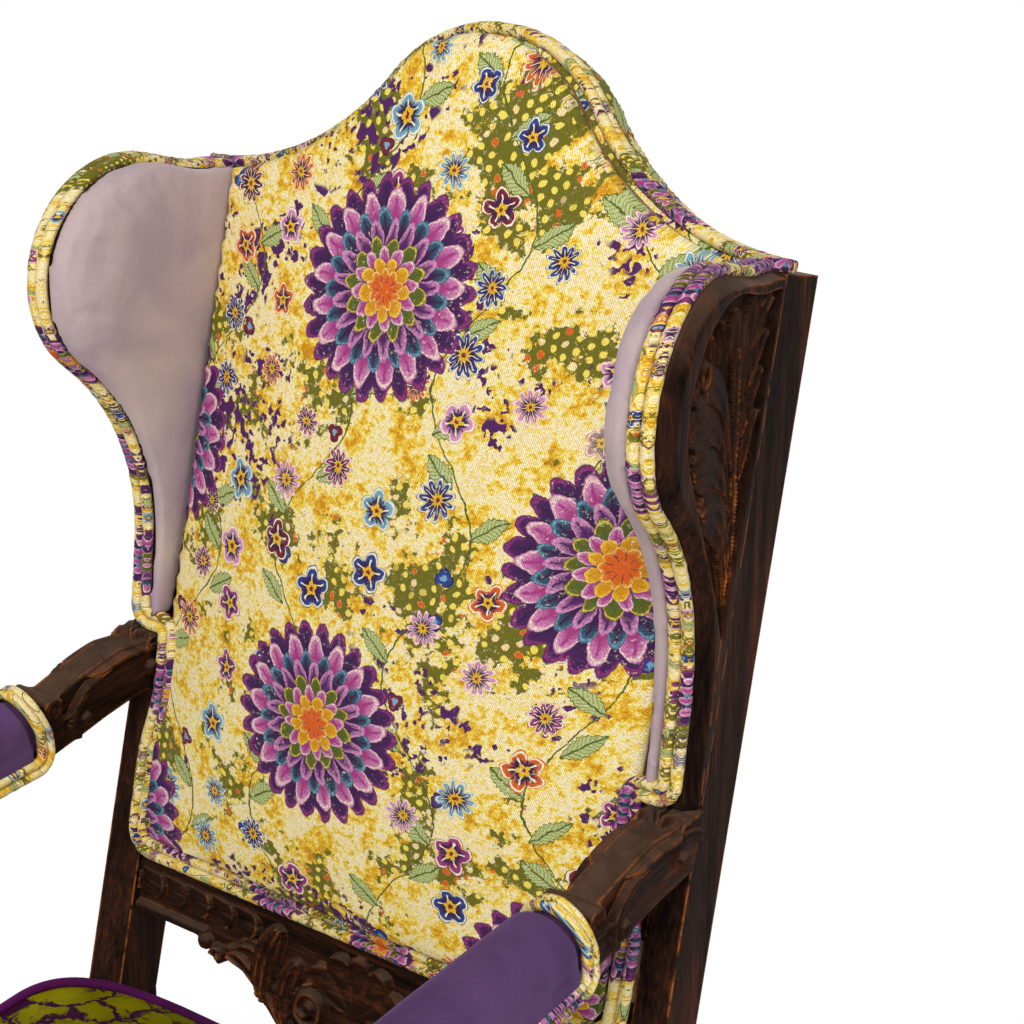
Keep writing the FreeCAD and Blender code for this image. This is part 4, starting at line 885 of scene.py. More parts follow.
def coins(x, v):
    """Overlapping round-ended tiles that face the middle."""
    lift = np.clip((v - COIN_MIDDLE) / COIN_HALF, -1, 1)
    round_off = dome(lift)
    run = (x - 0.010 * (1 - round_off) - COIN_FIRST) / COIN_PITCH
    share = run - np.floor(run)
    tile = COIN_T * (1 - 0.75 * share) * (0.45 + 0.55 * round_off)
    rim = 0.0013 * ease(0.13, 0.06, share)
    ridge = 0.0011 * bell(lift, 0, 0.13) * (1 - share)
    return np.where((np.abs(lift) < 1) & (run > 0), tile + rim + ridge, 0)


def shell(x, v):
    """A dished fan with a scalloped rim."""
    distance = np.hypot(x, v - SHELL_V)
    angle = np.arctan2(x, v - SHELL_V)
    lobe = np.abs(np.cos(angle / SHELL_FAN * SHELL_LOBES * math.pi))
    share = distance / (SHELL_R + SHELL_SCALLOP * np.sqrt(lobe))
    dish = 0.0026 + 0.0068 * share ** 1.5 - 0.0046 * share * (1 - lobe)
    edge = 0.0018 * bell(share, 0.95, 0.04)
    return np.where((share < 1) & (np.abs(angle) < SHELL_FAN / 2), dish + edge, 0)


def apron_height(x, v):
    """The rail's carving: fillet, tiles, bead, middle shell, leaves, volutes and scroll ends."""
    x = np.abs(x)
    bead = BEAD_R * dome((v - BEAD_V) / BEAD_R)
    return layered([
        FILLET_T * ease(FILLET_LOW - 0.0005, FILLET_LOW + 0.0005, v),
        coins(x, v),
        np.where(x > BEAD_END, bead, 0),
        shell(x, v),
        *(leaf(x, v, *row) for row in APRON_LEAVES),
        volute(x, v, (46, -246), 19, 11.0, 1.9, 1),
        volute(x, v, (149, -236), 10, 9.0, 1.2, -1),
        boss(x, v, (167, -230), 8.5, 7.5),
    ])


def apron_piece():
    """The carved rail as one form between the stiles."""
    x = np.linspace(-APRON_HALF, APRON_HALF, int(2 * APRON_HALF / APRON_STEP))
    mirrored = [(-across, level) for across, level in APRON_UNDERSIDE[:0:-1]]
    low = softened(mirrored + APRON_UNDERSIDE, x, 1)
    v = APRON_TOP + np.linspace(0, 1, APRON_ROWS)[:, None] * (low - APRON_TOP)
    height = apron_height(np.broadcast_to(x, v.shape), v)
    height = height * (0.35 + 0.65 * ease(0, 0.0025, v - low))
    front = on_back(x, v, APRON_FACE + height)
    rear = on_back(x, v[[-1, 0]], APRON_BACK)
    return loop_object("apron_carved", np.concatenate([front, rear]))


dress(apron_piece(), OAK_ACROSS, "oak", "apron_rail")

# Wing boards, carved

EAR = np.array([0.091, 0.348])
EAR_R = 0.093
SWEEP_R = 0.200
WING_FOOT = np.array([0.022, 0.048])
WING_FOOT_SLOPE = math.radians(7.8)
WING_SEAT = 0.0403
WING_T = 0.031
WING_EDGE = 0.006
WING_CHAMFER = 0.010
WING_CHAMFER_RUN = 0.009
WING_CHAMFER_NARROWS = 0.0065
WING_TOP = EAR[1] + EAR_R
WING_WAVE = 0.0022
WING_WAVE_FROM = 0.36
WING_LOW = 0.045
WING_STEP = 0.0012
PANEL_ROUND = np.array([0.075, 0.351])
PANEL_ROUND_R = 0.074
PANEL_LOWEST = (0.015, 0.168)
PANEL_ELBOW = (0.047, 0.210)
PANEL_REAR_TOP = 0.003
PANEL_FOOT = 0.003
PANEL_DEPTH = 0.0085
PANEL_LEAST = 0.0004
PANEL_WALL = 0.0014
PANEL_ROWS = 120

FOOT_UP = np.array([math.sin(WING_FOOT_SLOPE), math.cos(WING_FOOT_SLOPE)])
FOOT_OUT = np.array([math.cos(WING_FOOT_SLOPE), -math.sin(WING_FOOT_SLOPE)])
beside_ear = WING_FOOT + FOOT_OUT * SWEEP_R - EAR
hollow_rise = -beside_ear.dot(FOOT_UP) - math.sqrt((EAR_R + SWEEP_R) ** 2 - beside_ear.dot(FOOT_OUT) ** 2)
HOLLOW = EAR + beside_ear + FOOT_UP * hollow_rise


def wing_edge(inset, foot):
    """The wing's edge drawn in by inset, round the ear and the hollow and down to a level."""
    toward = math.atan2(HOLLOW[1] - EAR[1], HOLLOW[0] - EAR[0])
    ear = arc(EAR, EAR_R - inset, math.pi / 2, toward)
    hollow = arc(HOLLOW, SWEEP_R + inset, toward + math.pi, math.pi - WING_FOOT_SLOPE)
    end = hollow[-1] + FOOT_UP * (foot - hollow[-1][1]) / FOOT_UP[1]
    return np.concatenate([ear, hollow[1:], [end]])


def wing_wave(n, v):
    """How far the wing's top edge rises or falls behind the ear, fading out below."""
    wave = ease(0.040, 0.006, n) - bell(n, 0.046, 0.026)
    return WING_WAVE * wave * ease(WING_WAVE_FROM, WING_TOP, v)


def panel_front():
    """The front edge of the sunk panel, from its top round to its lower point."""
    around = arc(PANEL_ROUND, PANEL_ROUND_R, math.pi / 2, math.radians(-40))
    lower = rounded([around[-1], PANEL_ELBOW, PANEL_LOWEST], [0.1])
    return np.concatenate([around, lower[1:]])


def at_level(line, v):
    """How far forward a falling line is at each level."""
    return np.interp(v, line[::-1, 1], line[::-1, 0])


# Leaves as control points, half width, height, flutes, root, tip and depth of flutes; later ones lie on top
WING_LEAVES = [
    ([(48, 362), (66, 392), (80, 414)], 12, 5.0, 2, 0.4, 0.4),
    ([(32, 290), (46, 350), (54, 396), (36, 426)], 15, 6.4, 2, 0.4, 0.3, 0.3),
    ([(44, 380), (32, 406), (12, 420)], 9, 7.4, 2, 0.4, 0.4),
    ([(36, 352), (28, 382), (9, 396)], 9, 7.4, 2, 0.4, 0.4),
    ([(30, 322), (26, 350), (10, 370)], 9, 7.4, 2, 0.4, 0.4),
    ([(22, 290), (20, 320), (9, 340)], 9, 7.4, 2, 0.4, 0.4),
    ([(72, 330), (92, 360), (118, 396)], 6.5, 6.2, 2, 0.3, 0.3),
    ([(94, 362), (102, 384), (100, 406)], 5.5, 5.8, 2, 0.3, 0.4),
    ([(20, 235), (46, 325), (104, 384), (139, 352)], 17, 6.4, 3, 0.7, 0.22, 0.22),
    ([(17, 216), (42, 298), (98, 354), (136, 324)], 17, 6.9, 3, 0.7, 0.22, 0.22),
    ([(15, 206), (32, 270), (82, 320), (117, 296)], 17, 7.4, 3, 0.7, 0.22, 0.22),
    ([(13, 198), (23, 242), (62, 284), (91, 266)], 17, 7.9, 3, 0.7, 0.22, 0.22),
    ([(9, 180), (20, 262), (46, 335), (66, 388)], 7, 8.0, 2, 0.8, 0.12),
    ([(9, 172), (14, 230), (31, 290)], 6, 8.2, 2, 0.5, 0.1),
]
WING_EYE = (0.120, 0.368)
WING_EYE_R = 0.0065


def wing_leaf(n, v):
    """The carved leaf: a rear blade with small lobes, a shoot, a bud, curled front lobes, stem and eye."""
    away = np.hypot(n - WING_EYE[0], (v - WING_EYE[1]) * 0.8)
    eye = 0.0068 * bell(away, WING_EYE_R, 0.0026) * (away < 0.011)
    return layered([*(leaf(n, v, *row) for row in WING_LEAVES), eye])


def wing_board(side, sign):
    """A board with a bevelled edge and a sunk panel that holds the carved leaf."""
    front = panel_front()
    edge = evenly(wing_edge(WING_EDGE, 0.0), WING_STEP)
    v = edge[:, 1]
    v = np.unique(np.concatenate([v[v > WING_LOW], front[0, 1] - np.array([0, PANEL_WALL])]))[::-1]
    foot = (PANEL_FOOT, WING_LOW)
    rear = at_level(np.array([(PANEL_REAR_TOP, front[0, 1]), PANEL_LOWEST, foot]), v)
    lip = np.maximum(at_level(np.concatenate([front, [foot]]), v), rear + PANEL_WALL)
    bevel = np.maximum(at_level(wing_edge(WING_EDGE + WING_CHAMFER_RUN, 0.0), v), lip + PANEL_WALL)
    rim = np.maximum(at_level(edge, v), bevel + PANEL_WALL)
    share = np.linspace(0, 1, PANEL_ROWS)[:, None]
    tenth = PANEL_ROWS // 10
    inside = rear + PANEL_WALL + share * (lip - rear - 2 * PANEL_WALL)
    border = lip + share[tenth::tenth] * (bevel - lip)
    slope = bevel + share[2 * tenth::2 * tenth] * (rim - bevel)
    n = np.array([0 * v, rear, *inside, lip, *border, *slope, rim])
    v = np.broadcast_to(v, n.shape).copy()
    sunk = (n > rear) & (n < lip) & (v < front[0, 1]) & (v > PANEL_LOWEST[1])
    ground = PANEL_DEPTH - wing_leaf(n, v)
    depth = np.where(sunk, np.maximum(ground, PANEL_LEAST), 0)
    inset = np.abs(nearest(n, v, evenly(wing_edge(0, 0.0), 0.003))[1])
    inset = np.where(n < EAR[0], np.minimum(inset, WING_TOP - v), inset)
    run = WING_CHAMFER_RUN - WING_CHAMFER_NARROWS * ease(0.10, 0.05, n) * ease(0.30, 0.40, v)
    depth = np.maximum(depth, WING_CHAMFER * np.clip(1 - (inset - WING_EDGE) / run, 0, 1))
    n = np.concatenate([n, n[-1:], n[:1]])
    v = np.concatenate([v, v[-1:], v[:1]])
    depth = np.concatenate([depth, np.full((2, n.shape[1]), WING_T)])
    level = (WING_SEAT - n[:, -1] * math.sin(RAKE)) / math.cos(RAKE)
    n, v, depth = (np.concatenate([field, field[:, -1:]], 1) for field in (n, v, depth))
    v[:, -1] = level
    points = on_wing(n, v + wing_wave(n, v), depth) * (sign, 1, 1)
    return dress(loop_object("wing_carved_" + side, points), OAK_UP, "oak", "wing_board_" + side)


for side, sign in SIDES:
    wing_board(side, sign)

# Arms, carved

ARM_HALF = 0.0225
ARM_STEP = 0.0016
ARM_FLANGE = (50, -15)
ARM_FLANGE_REACH = (74, 51)
ARM_RIM = 0.0082
ARM_NECK = 0.0075
ARM_NOSE = (110, -8)
ARM_NOSE_R = 0.0125
ARM_COLLAR = (140, 17.5)
ARM_COLLAR_R = 0.0108
ARM_PLATE = 0.128
ARM_PLATE_LOW = -0.009
ARM_KNUCKLE = 0.0215
ARM_BASE_TOP = -0.0185
ARM_PAD_REAR = 0.1505
ARM_PAD_FRONT = 0.455
ARM_FRONT_TOP = 0.017
ARM_TOP = [(-10, 31.5), (20, 32), (32, 33.5), (50, 36.5), (66, 35), (104, 29), (131, 23)]
ARM_KNUCKLE_RISE = 0.0085
ARM_UNDER = [(-10, -9), (50, -11), (80, -14.5), (112, -20), (128, -22), (150, -25.5), (206, -33),
             (245, -38), (600, -38)]
ARM_SCROLL = (556, -6)
ARM_SCROLL_R = 0.032
ARM_PEGS = ((21, 9), (103, -7))
ARM_PEG_R = 0.0078
ARM_PEG_T = 0.0062
ARM_SUNK = 0.0028
ARM_DISH = 0.0030
ARM_DISH_HALF = 0.0115
ARM_BEAD_X = 0.0128
ARM_GROOVE_X = 0.0158
ARM_LOW_ROWS = 38
ARM_HIGH_ROWS = 14
ARM_CROWN_ROWS = 49
ARM_UNDER_ROWS = 7


def away_from(f, z, centre):
    return np.hypot(f - centre[0] * MM, z - centre[1] * MM)


def flange_inside(f, z):
    """How far inside the oval flange a place is."""
    reach = np.array(ARM_FLANGE_REACH) * MM
    share = np.hypot((f - ARM_FLANGE[0] * MM) / reach[0], (z - ARM_FLANGE[1] * MM) / reach[1])
    inside = (1 - share) * reach.mean()
    nose = ARM_NOSE_R - away_from(f, z, ARM_NOSE)
    return np.where((f > ARM_NOSE[0] * MM) & (z < ARM_NOSE[1] * MM), np.minimum(inside, nose), inside)


def flange_top(f):
    """The level of the flange's rim, or of the collar's plate in front of it."""
    share = (f - ARM_FLANGE[0] * MM) / (ARM_FLANGE_REACH[0] * MM)
    rim = ARM_FLANGE[1] * MM + ARM_FLANGE_REACH[1] * MM * dome(share)
    return np.maximum(rim, 0.004)


def arm_flank(f, z):
    """How far an arm's side stands out: the flange with its rim and pegs, neck, collar and scroll."""
    inside = flange_inside(f, z)
    plate_edge = ARM_PLATE + 1.3 * np.clip(ARM_PLATE_LOW - z, 0, 1)
    plate = ease(plate_edge - 0.0006, plate_edge + 0.0006, f)
    outside = ease(0.0004, -0.0004, inside) * (1 - plate)
    sunk = ease(ARM_RIM - 0.0012, ARM_RIM + 0.0012, inside) * (1 - plate)
    rim = bell(inside, ARM_RIM / 2, 0.0028) * (1 - plate)
    flank = 0.0010 * rim - ARM_NECK * outside - ARM_SUNK * sunk - 0.0012 * plate * ease(0.19, 0.16, f)
    for peg in ARM_PEGS:
        place = away_from(f, z, peg)
        flank = flank - 0.0016 * bell(place, ARM_PEG_R + 0.001, 0.0016)
        flank = np.maximum(flank, ARM_PEG_T * dome((place / ARM_PEG_R) ** 2) - ARM_SUNK)
    disc = away_from(f, z, ARM_COLLAR)
    roll = 0.0012 * np.cos(np.clip(disc / ARM_COLLAR_R, 0, 1) * 3 * math.pi)
    flank = np.where(disc < ARM_COLLAR_R, roll, flank)
    return flank + volute(f, z, ARM_SCROLL, 28, 4.0, 2.4, 1) * (f > ARM_PAD_FRONT)


def arm_crown(f, x):
    """How an arm's top is dished between two beads beside a groove, with a leafy knuckle behind."""
    off = np.abs(x)
    dish = -ARM_DISH * np.clip(1 - (off / ARM_DISH_HALF) ** 2, 0, 1)
    bead = 0.0012 * bell(off, ARM_BEAD_X, 0.0010)
    groove = -0.0026 * bell(off, ARM_GROOVE_X, 0.0013)
    flange = -0.0012 * ease(0.0160, 0.0172, off) - 0.0020 * ease(0.0195, ARM_HALF, off)
    veins = -0.0016 * np.abs(np.sin((off * 0.7 + f * 0.6) * 620)) * ease(0.002, 0.005, off)
    leafy = veins - 0.0045 * bell(x, 0, 0.0014) - 0.0055 * (off / ARM_HALF) ** 4
    tips = ARM_KNUCKLE + 0.0035 * np.cos(off / ARM_HALF * 2 * math.pi)
    knuckle = ease(tips + 0.0012, tips - 0.0012, f)
    plain = ease(ARM_PLATE - 0.002, ARM_PLATE + 0.003, f)
    strip = (dish + bead + groove + flange) * (1 - knuckle) * (1 - plain)
    return strip + (leafy + ARM_KNUCKLE_RISE) * knuckle


def arm_outline(f):
    """The underside and top of an arm by distance forward."""
    top = softened(ARM_TOP, f, 2)
    collar = ARM_COLLAR_R * dome((f - ARM_COLLAR[0] * MM) / ARM_COLLAR_R)
    top = np.where(collar > 0, np.maximum(top, ARM_COLLAR[1] * MM + collar), top)
    top = np.where(f > ARM_PAD_REAR, ARM_BASE_TOP, top)
    rising = ARM_FRONT_TOP + 0.009 * ease(ARM_PAD_FRONT, ARM_SCROLL[0] * MM, f)
    top = np.where(f > ARM_PAD_FRONT, rising, top)
    under = softened(ARM_UNDER, f, 2)
    round_end = np.maximum(ARM_SCROLL_R * dome((f - ARM_SCROLL[0] * MM) / ARM_SCROLL_R), 0.1 * MM)
    past = f > ARM_SCROLL[0] * MM
    top = np.where(past, ARM_SCROLL[1] * MM + round_end, top)
    under = np.where(past, ARM_SCROLL[1] * MM - round_end, under)
    return under, top


def arm_piece(side, sign):
    """An arm: leafy knuckle, dished strip between oval flanges, collar, base under the pad and scroll."""
    length = ARM_SCROLL[0] * MM + ARM_SCROLL_R
    f = np.linspace(0, length, int(length / ARM_STEP))
    under, top = arm_outline(f)
    wall = -ARM_NECK * ease(0.001, 0.005, top - flange_top(f)) * ease(ARM_PLATE + 0.001, ARM_PLATE, f)
    wall = np.where(f < ARM_KNUCKLE + 0.003, -0.0022, wall)
    edge_top = top + arm_crown(f, ARM_HALF + wall)
    shelf = np.minimum(flange_top(f), under + (edge_top - under) * 0.94)
    low = under + np.linspace(0, 1, ARM_LOW_ROWS)[:, None] * (shelf - under)
    step = shelf + 0.0003
    high = step + np.linspace(0, 1, ARM_HIGH_ROWS)[:, None] * (edge_top - step)
    wide = np.broadcast_to(f, low.shape)
    flank = ARM_HALF + arm_flank(wide, np.minimum(low, shelf - 0.0006))
    wide = np.broadcast_to(f, high.shape)
    rolled = np.where(away_from(wide, high, ARM_COLLAR) < ARM_COLLAR_R, arm_flank(wide, high), wall)
    upper = ARM_HALF + np.where(f > ARM_PAD_FRONT, arm_flank(wide, high), rolled)
    across = np.linspace(1, -1, ARM_CROWN_ROWS)[1:-1, None] * upper[-1]
    crown = top + arm_crown(f, across)
    flank = np.concatenate([flank, upper])
    z = np.concatenate([low, high])
    below = np.linspace(-1, 1, ARM_UNDER_ROWS)[1:-1, None] * flank[0]
    x = np.concatenate([flank, across, -flank[::-1], below])
    z = np.concatenate([z, crown, z[::-1], np.broadcast_to(under, below.shape)])
    y = BACK_Y - f + z * math.tan(RAKE) * ease(0.03, 0, f)
    points = np.stack([sign * (ARM_X + x), y, ARM_LEVEL + z], -1)
    return dress(loop_object("arm_carved_" + side, points), OAK_FORWARD, "oak", "arm_" + side)


for side, sign in SIDES:
    arm_piece(side, sign)

# Upholstery

PAD_VOXEL = 0.005
SMALL_VOXEL = 0.004
UP = (0, 0, 1)

soft_pads = []
side_pads = []


def pad(node, material, slot, outward, held, shrink, cap, voxel=PAD_VOXEL):
    """A stuffed piece in place of a node."""
    piece = remeshed(node + "_soft", node, voxel, rounds=3)
    make_soft(piece, outward, held, shrink)
    soft_pads.append((piece, cap))
    dress(piece, material, slot, node)
    return piece


pad("back_pad", BACK_PRINT, "print_fabric", BACK_OUT, held=0.016, shrink=0.003, cap=0.010)
seat = pad("seat_pad", SEAT_VELVET, "seat_velvet", UP, held=0.047, shrink=0.003, cap=0.012)
pad("outside_back", WING_VELVET, "wing_velvet", -BACK_OUT, held=0.003, shrink=0.001, cap=0.004)
for side, sign in SIDES:
    arm_pad = pad("arm_pad_" + side, ARM_VELVET, "arm_velvet", UP,
                  held=0.014, shrink=0.002, cap=0.005, voxel=SMALL_VOXEL)
    wing_pad = pad("wing_pad_" + side, WING_VELVET, "wing_velvet", WING_IN * (sign, 1, 1),
                   held=0.008, shrink=0.001, cap=0.004, voxel=SMALL_VOXEL)
    side_pads.append((sign, arm_pad, wing_pad))
if soft_pads:
    swell(soft_pads)

SEAT_TUCK = (0.243, 0.104)
SEAT_TUCK_REACH = (0.045, 0.040)
SEAT_TUCK_IN = 0.005
SEAT_TUCK_DOWN = 0.002
SEAT_FLAP = 0.1175
SEAT_FLAP_TOP = 0.4113
SEAT_FLAP_SHARE = 0.8
ARM_PAD_LEAN_FROM = 0.240
ARM_PAD_LEAN_TO = 0.142
ARM_PAD_LEAN_HIGH = 0.036
ARM_PAD_LEAN = 0.011
ARM_PAD_PUSH = 0.008
LINING_LOW = 0.130
LINING_RAISE = 0.012
LINING_PUSH = 0.004


def tuck_seat(piece):
    """Draws the seat's rear corners in and down before the stiles, and its rear flap in and low."""
    points = points_of(piece)
    places = (np.abs(points[:, 0]), points[:, 1])
    pull = np.prod([bell(*row) for row in zip(places, SEAT_TUCK, SEAT_TUCK_REACH)], axis=0)
    flap = points[:, 1] > SEAT_FLAP
    points[:, 1] -= SEAT_TUCK_IN * pull
    points[:, 2] -= SEAT_TUCK_DOWN * pull
    points[flap, 1] = SEAT_FLAP + SEAT_FLAP_SHARE * (points[flap, 1] - SEAT_FLAP)
    points[flap, 2] = np.minimum(points[flap, 2], SEAT_FLAP_TOP)
    put_points(piece, points)


def draw_forward(piece):
    """Leans an arm pad's rear end forward, clear of the collar."""
    points = points_of(piece)
    rear = ease(ARM_PAD_LEAN_FROM, ARM_PAD_LEAN_TO, BACK_Y - points[:, 1])
    lean = ARM_PAD_LEAN * ease(0, ARM_PAD_LEAN_HIGH, points[:, 2] - ARM_LEVEL)
    points[:, 1] -= rear * (ARM_PAD_PUSH + lean)
    put_points(piece, points)


def wave_lining(piece, sign):
    """Lets a wing's lining follow the wing's wavy top edge, and draws its foot up to the piping's turn."""
    points = points_of(piece)
    place = points * (sign, 1, 1) - WING_ORIGIN
    level = place @ WING_UP
    rise = wing_wave(place @ WING_OUT, level)
    foot = ease(LINING_LOW, level.min(), level)
    moves = (rise + LINING_RAISE * foot)[:, None] * WING_UP + LINING_PUSH * foot[:, None] * WING_OUT
    put_points(piece, points + moves * (sign, 1, 1))


tuck_seat(seat)
for sign, arm_pad, wing_pad in side_pads:
    draw_forward(arm_pad)
    wave_lining(wing_pad, sign)

# Piping

CORD_R = 0.005
CORD_SINK = 0.0015
CORD_STEP = 0.0025
CORD_SIDES = 12
CORD_PUCKER = 0.0005
CORD_PUCKER_SCALE = 160
CREST_CORNERS = [(-0.271, 0.447), (-0.1612, 0.447), (-0.0612, 0.585),
                 (0.0612, 0.585), (0.1612, 0.447), (0.271, 0.447)]
CREST_RADII = (0.215, 0.120, 0.120, 0.215)
CREST_WELT_N = -0.010
EDGE_WELT_FOOT = 0.0455
EDGE_WELT_START = -0.004
EDGE_WELT_CORNERS = [(0.232, EDGE_WELT_FOOT, 0.020), (0.232, -0.020, 0.016), (0.246, -0.075, 0.0095),
                     (0.246, -0.160, 0.0095)]
EDGE_WELT_RADII = [0.011, 0.011, 0.05, 0.05, 0.019]
EDGE_WELT_TURNS = (0.060, 0.090)
ARM_CORD_R = 0.0043
ARM_WELT_SIDE = 0.0272
ARM_WELT_LOW = -0.0215
ARM_WELT_TURN_R = 0.012
ARM_ARCH_SIDE = 0.0246
ARM_ARCH_TOP = 0.0385
ARM_ARCH_SPRING = 0.004
ARM_ARCH_REAR = 0.1555
ARM_ARCH_LEAN = 0.011
SEAT_CORD_DRAWN = 0.0007
SEAT_CORD_VOXEL = 0.0016


def cords(name, line, beside, material, radius, *nodes):
    """Double piping: two cords of sewn cloth side by side along a line."""
    along = tangents(line)
    beside = beside - along * np.sum(beside * along, axis=1, keepdims=True)
    beside /= np.linalg.norm(beside, axis=1, keepdims=True)
    above = np.cross(along, beside)
    turn = np.linspace(0, 2 * math.pi, CORD_SIDES, endpoint=False)[:, None, None]
    ring = np.cos(turn) * beside + np.sin(turn) * above
    pair = []
    for place in (-radius, radius):
        skin = line + beside * place + ring * radius
        pucker = [noise.noise(Vector(point) * CORD_PUCKER_SCALE) for point in skin.reshape(-1, 3)]
        pair.append(skin + ring * (CORD_PUCKER * np.reshape(pucker, (CORD_SIDES, -1, 1))))
    return dress(loop_object(name, *pair), material, "print_fabric", *nodes)


def crest_welt():
    """Along the arch, from one stile's top to the other."""
    flat = evenly(rounded(CREST_CORNERS, CREST_RADII), CORD_STEP)
    inward = tangents(flat)[:, ::-1] * (1, -1)
    flat = flat + inward * CORD_R
    line = on_back(flat[:, 0], flat[:, 1], CREST_WELT_N)
    beside = np.broadcast_to(BACK_OUT, line.shape)
    return cords("crest_piping", line, beside, WELT_PRINT, CORD_R, "crest_welt")


def edge_welt():
    """Round one wing's edge, in beside the arm, down and round the lower back, and up the other side."""
    edge = wing_edge(WING_EDGE - CORD_R + CORD_SINK, EDGE_WELT_FOOT)
    behind = np.linspace(EDGE_WELT_START, EAR[0], 40)[:-1]
    top = np.stack([behind, edge[0, 1] + wing_wave(behind, WING_TOP)], -1)
    edge = np.concatenate([top, edge])
    wing = on_wing(edge[:, 0], edge[:, 1], WING_CHAMFER + 2 * CORD_R)
    half = [*wing[-2:], *(on_back(*corner) for corner in EDGE_WELT_CORNERS)]
    mirror = np.array([-1, 1, 1])
    corners = half + [point * mirror for point in reversed(half)]
    lower = rounded(corners, EDGE_WELT_RADII + EDGE_WELT_RADII[::-1])
    line = evenly(np.concatenate([wing[:-2], lower, (wing[:-2] * mirror)[::-1]]), CORD_STEP)
    share = ease(*EDGE_WELT_TURNS, (line - BACK_ORIGIN) @ BACK_UP)[:, None]
    inward = WING_IN * np.where(line[:, :1] > 0, 1, mirror)
    beside = share * inward + (1 - share) * np.cross(tangents(line), BACK_OUT)
    nodes = ("wing_welt_left", "wing_welt_right", "back_welt")
    return cords("edge_piping", line, beside, WELT_PRINT, CORD_R, *nodes)


def arm_welt(side, sign):
    """Along a pad's lower edges and over its rear end, which leans forward."""
    low = [(ARM_WELT_SIDE, place, ARM_WELT_LOW) for place in (ARM_PAD_FRONT, ARM_ARCH_REAR)]
    run = rounded([*low, (ARM_ARCH_SIDE, ARM_ARCH_REAR, ARM_ARCH_SPRING)], [ARM_WELT_TURN_R])
    turn = np.linspace(0, math.pi, 60)[1:-1]
    rise = np.sin(turn)
    arch = np.stack([ARM_ARCH_SIDE * np.cos(turn), ARM_ARCH_REAR + ARM_ARCH_LEAN * rise,
                     ARM_ARCH_SPRING + (ARM_ARCH_TOP - ARM_ARCH_SPRING) * rise], -1)
    line = evenly(np.concatenate([run, arch, run[::-1] * (-1, 1, 1)]), CORD_STEP)
    line = np.stack([sign * (ARM_X + line[:, 0]), BACK_Y - line[:, 1], ARM_LEVEL + line[:, 2]], -1)
    radial = line - (sign * ARM_X, 0, ARM_LEVEL + ARM_WELT_LOW)
    radial[:, 1] = 0
    beside = np.cross(tangents(line), radial)
    return cords("arm_piping_" + side, line, beside, ARM_PRINT, ARM_CORD_R, "arm_welt_" + side)


crest_welt()
edge_welt()
for side, sign in SIDES:
    arm_welt(side, sign)

seat_cord = remeshed("seat_piping_cord", "seat_piping", SEAT_CORD_VOXEL, rounds=2)
put_points(seat_cord, puffed(seat_cord, -SEAT_CORD_DRAWN))
tuck_seat(seat_cord)
dress(seat_cord, PIPING_VELVET, "piping_velvet", "seat_piping")

# Covers

COVER_T = 0.0022
DUST_SAG = 0.004
DUST_RIPPLE = 0.0008
DUST_RIPPLE_SCALE = 9


def crest_cover():
    """The cloth drawn over the top rail of the back."""
    piece = remeshed("crest_cover", "crest_rail", SMALL_VOXEL, rounds=1)
    put_points(piece, puffed(piece, COVER_T))
    dress(piece, BACK_PRINT, "print_fabric")


def dust_cover():
    """Cloth tacked under the seat rails, a little slack in the middle."""
    low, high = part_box("dust_cover")
    x, y = np.meshgrid(np.linspace(low.x, high.x, 60), np.linspace(low.y, high.y, 56))
    size = high - low
    slack = np.cos(math.pi * x / size.x) * np.sin(math.pi * (y - low.y) / size.y)
    places = np.stack([x, y, 0 * x], -1).reshape(-1, 3) * DUST_RIPPLE_SCALE
    ripple = np.reshape([noise.noise(place) for place in places], x.shape)
    under = np.stack([x, y, low.z - DUST_SAG * slack + DUST_RIPPLE * ripple * slack], -1)
    over = under + (0, 0, size.z)
    piece = loop_object("dust_cloth", np.concatenate([under, over[::-1]]))
    dress(piece, DUST_CLOTH, "dust_cloth", "dust_cover")


crest_cover()
dust_cover()

# Materials of the nodes that stay

NODE_FINISHES = [
    (OAK_UP, ("rear_stile_left", "rear_stile_right", "front_leg_left", "front_leg_right", "corner_blocks")),
    (OAK_ACROSS, ("crest_rail", "seat_rail_front", "seat_rail_rear", "cross_stretcher", "rear_stretcher")),
    (OAK_FORWARD, ("seat_rail_left", "seat_rail_right", "side_stretcher_left", "side_stretcher_right")),
    (WEBBING, ("back_webbing", "seat_webbing")),
    (HESSIAN, ("back_hessian", "seat_hessian")),
    (SCREW_STEEL, ("block_screws",)),
]
for material, nodes in NODE_FINISHES:
    for node in nodes:
        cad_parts[node].data.materials.clear()
        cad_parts[node].data.materials.append(material)

# Floor, light and camera


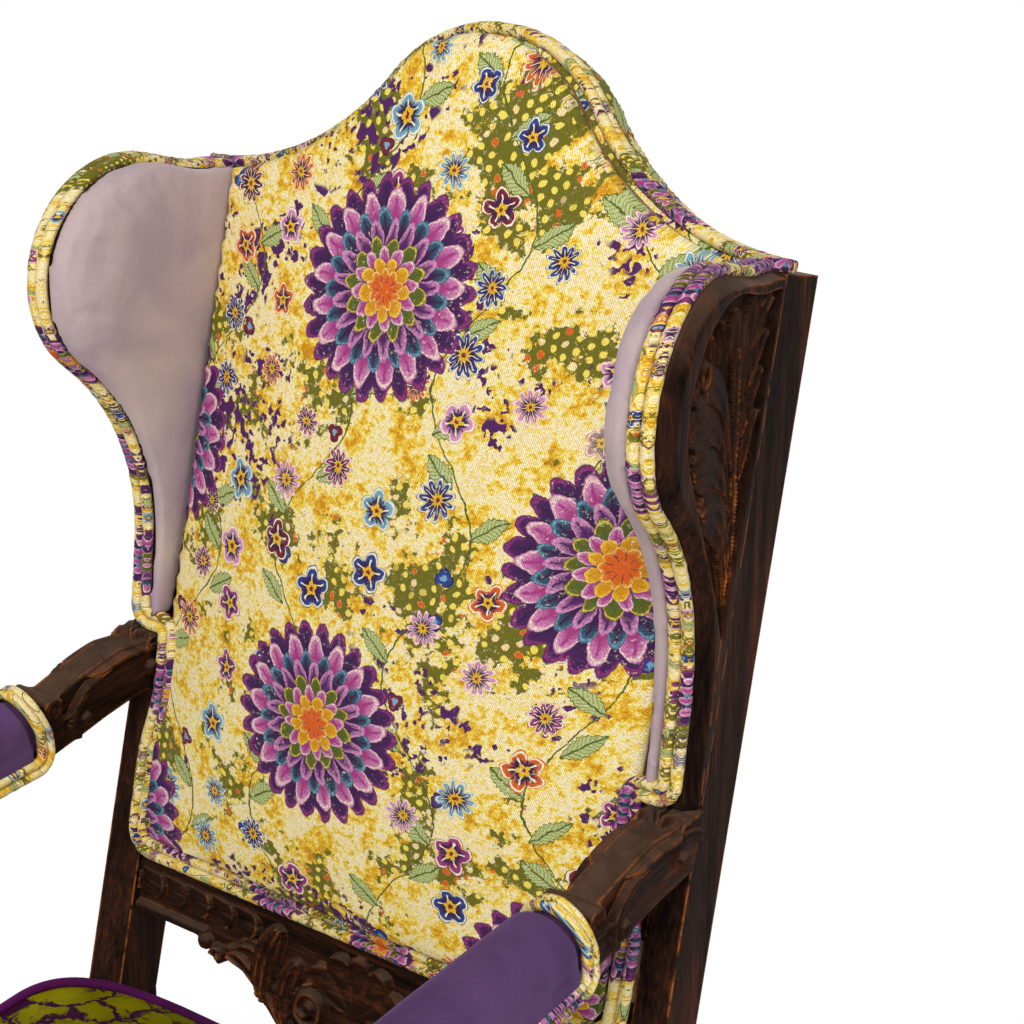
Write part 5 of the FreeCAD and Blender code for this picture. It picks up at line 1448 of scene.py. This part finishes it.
def make_floor():
    """A pale floor that keeps the shadow near the chair and turns plain white further off."""
    mesh = bpy.data.meshes.new("floor")
    corners = [(-FLOOR_HALF, -FLOOR_HALF, 0), (FLOOR_HALF, -FLOOR_HALF, 0),
               (FLOOR_HALF, FLOOR_HALF, 0), (-FLOOR_HALF, FLOOR_HALF, 0)]
    mesh.from_pydata(corners, [], [(0, 1, 2, 3)])
    floor = add_object("floor", mesh)
    material, place = new_material("floor")
    tone = clouds(place, 40, 3, 0.6)
    coat(material, ramp(tone, [(0.3, FLOOR_DARK), (0.7, FLOOR_LIGHT)]), 0.9, 0.1)
    x, y, _ = split(place)
    far = polar(x, y)[0].rise(FLOOR_NEAR, FLOOR_FAR) * seen_directly(material.node_tree)
    white = place.make("ShaderNodeEmission", 0, {})
    surface = material.node_tree.nodes["Material Output"].inputs["Surface"]
    shown = Field(surface.links[0].from_socket)
    plug(place.make("ShaderNodeMixShader", 0, {0: far, 1: shown, 2: white}), surface)
    mesh.materials.append(material)


def seen_directly(tree):
    """1 for rays from the camera, from glossy surfaces and through clear ones, and 0 for the rest."""
    path = tree.nodes.new("ShaderNodeLightPath").outputs
    camera, glossy, clear = (Field(path[f"Is {kind} Ray"]) for kind in ("Camera", "Glossy", "Transmission"))
    return camera.either(glossy).either(clear)


def make_world():
    """White where it is seen, and a softer even light on the chair."""
    world = bpy.data.worlds.new("studio")
    world.use_nodes = True
    scene.world = world
    background = world.node_tree.nodes["Background"]
    plug(WHITE, background.inputs["Color"])
    plug(seen_directly(world.node_tree) * (1 - AMBIENT) + AMBIENT, background.inputs["Strength"])


def make_light(name, place, aim, size, power):
    """A soft square lamp."""
    data = bpy.data.lights.new(name, "AREA")
    data.size = size
    data.energy = power
    lamp = add_object(name, data)
    lamp.location = place
    lamp.rotation_euler = (Vector(aim) - Vector(place)).to_track_quat("-Z", "Y").to_euler()


def make_camera():
    """The camera that took the reference view."""
    data = bpy.data.cameras.new("camera")
    data.lens = CAMERA_LENS
    data.sensor_width = CAMERA_SENSOR
    data.shift_x = CAMERA_SHIFT_X
    camera = add_object("camera", data)
    camera.location = (CAMERA_X, BACK_Y - CAMERA_BEFORE_BACK, CAMERA_HEIGHT)
    level = math.cos(CAMERA_PITCH)
    forward = (-math.sin(CAMERA_AZIMUTH) * level, math.cos(CAMERA_AZIMUTH) * level, -math.sin(CAMERA_PITCH))
    camera.rotation_euler = Vector(forward).to_track_quat("-Z", "Y").to_euler()
    scene.camera = camera


make_floor()
make_world()
for lamp in LAMPS:
    make_light(*lamp)
make_camera()
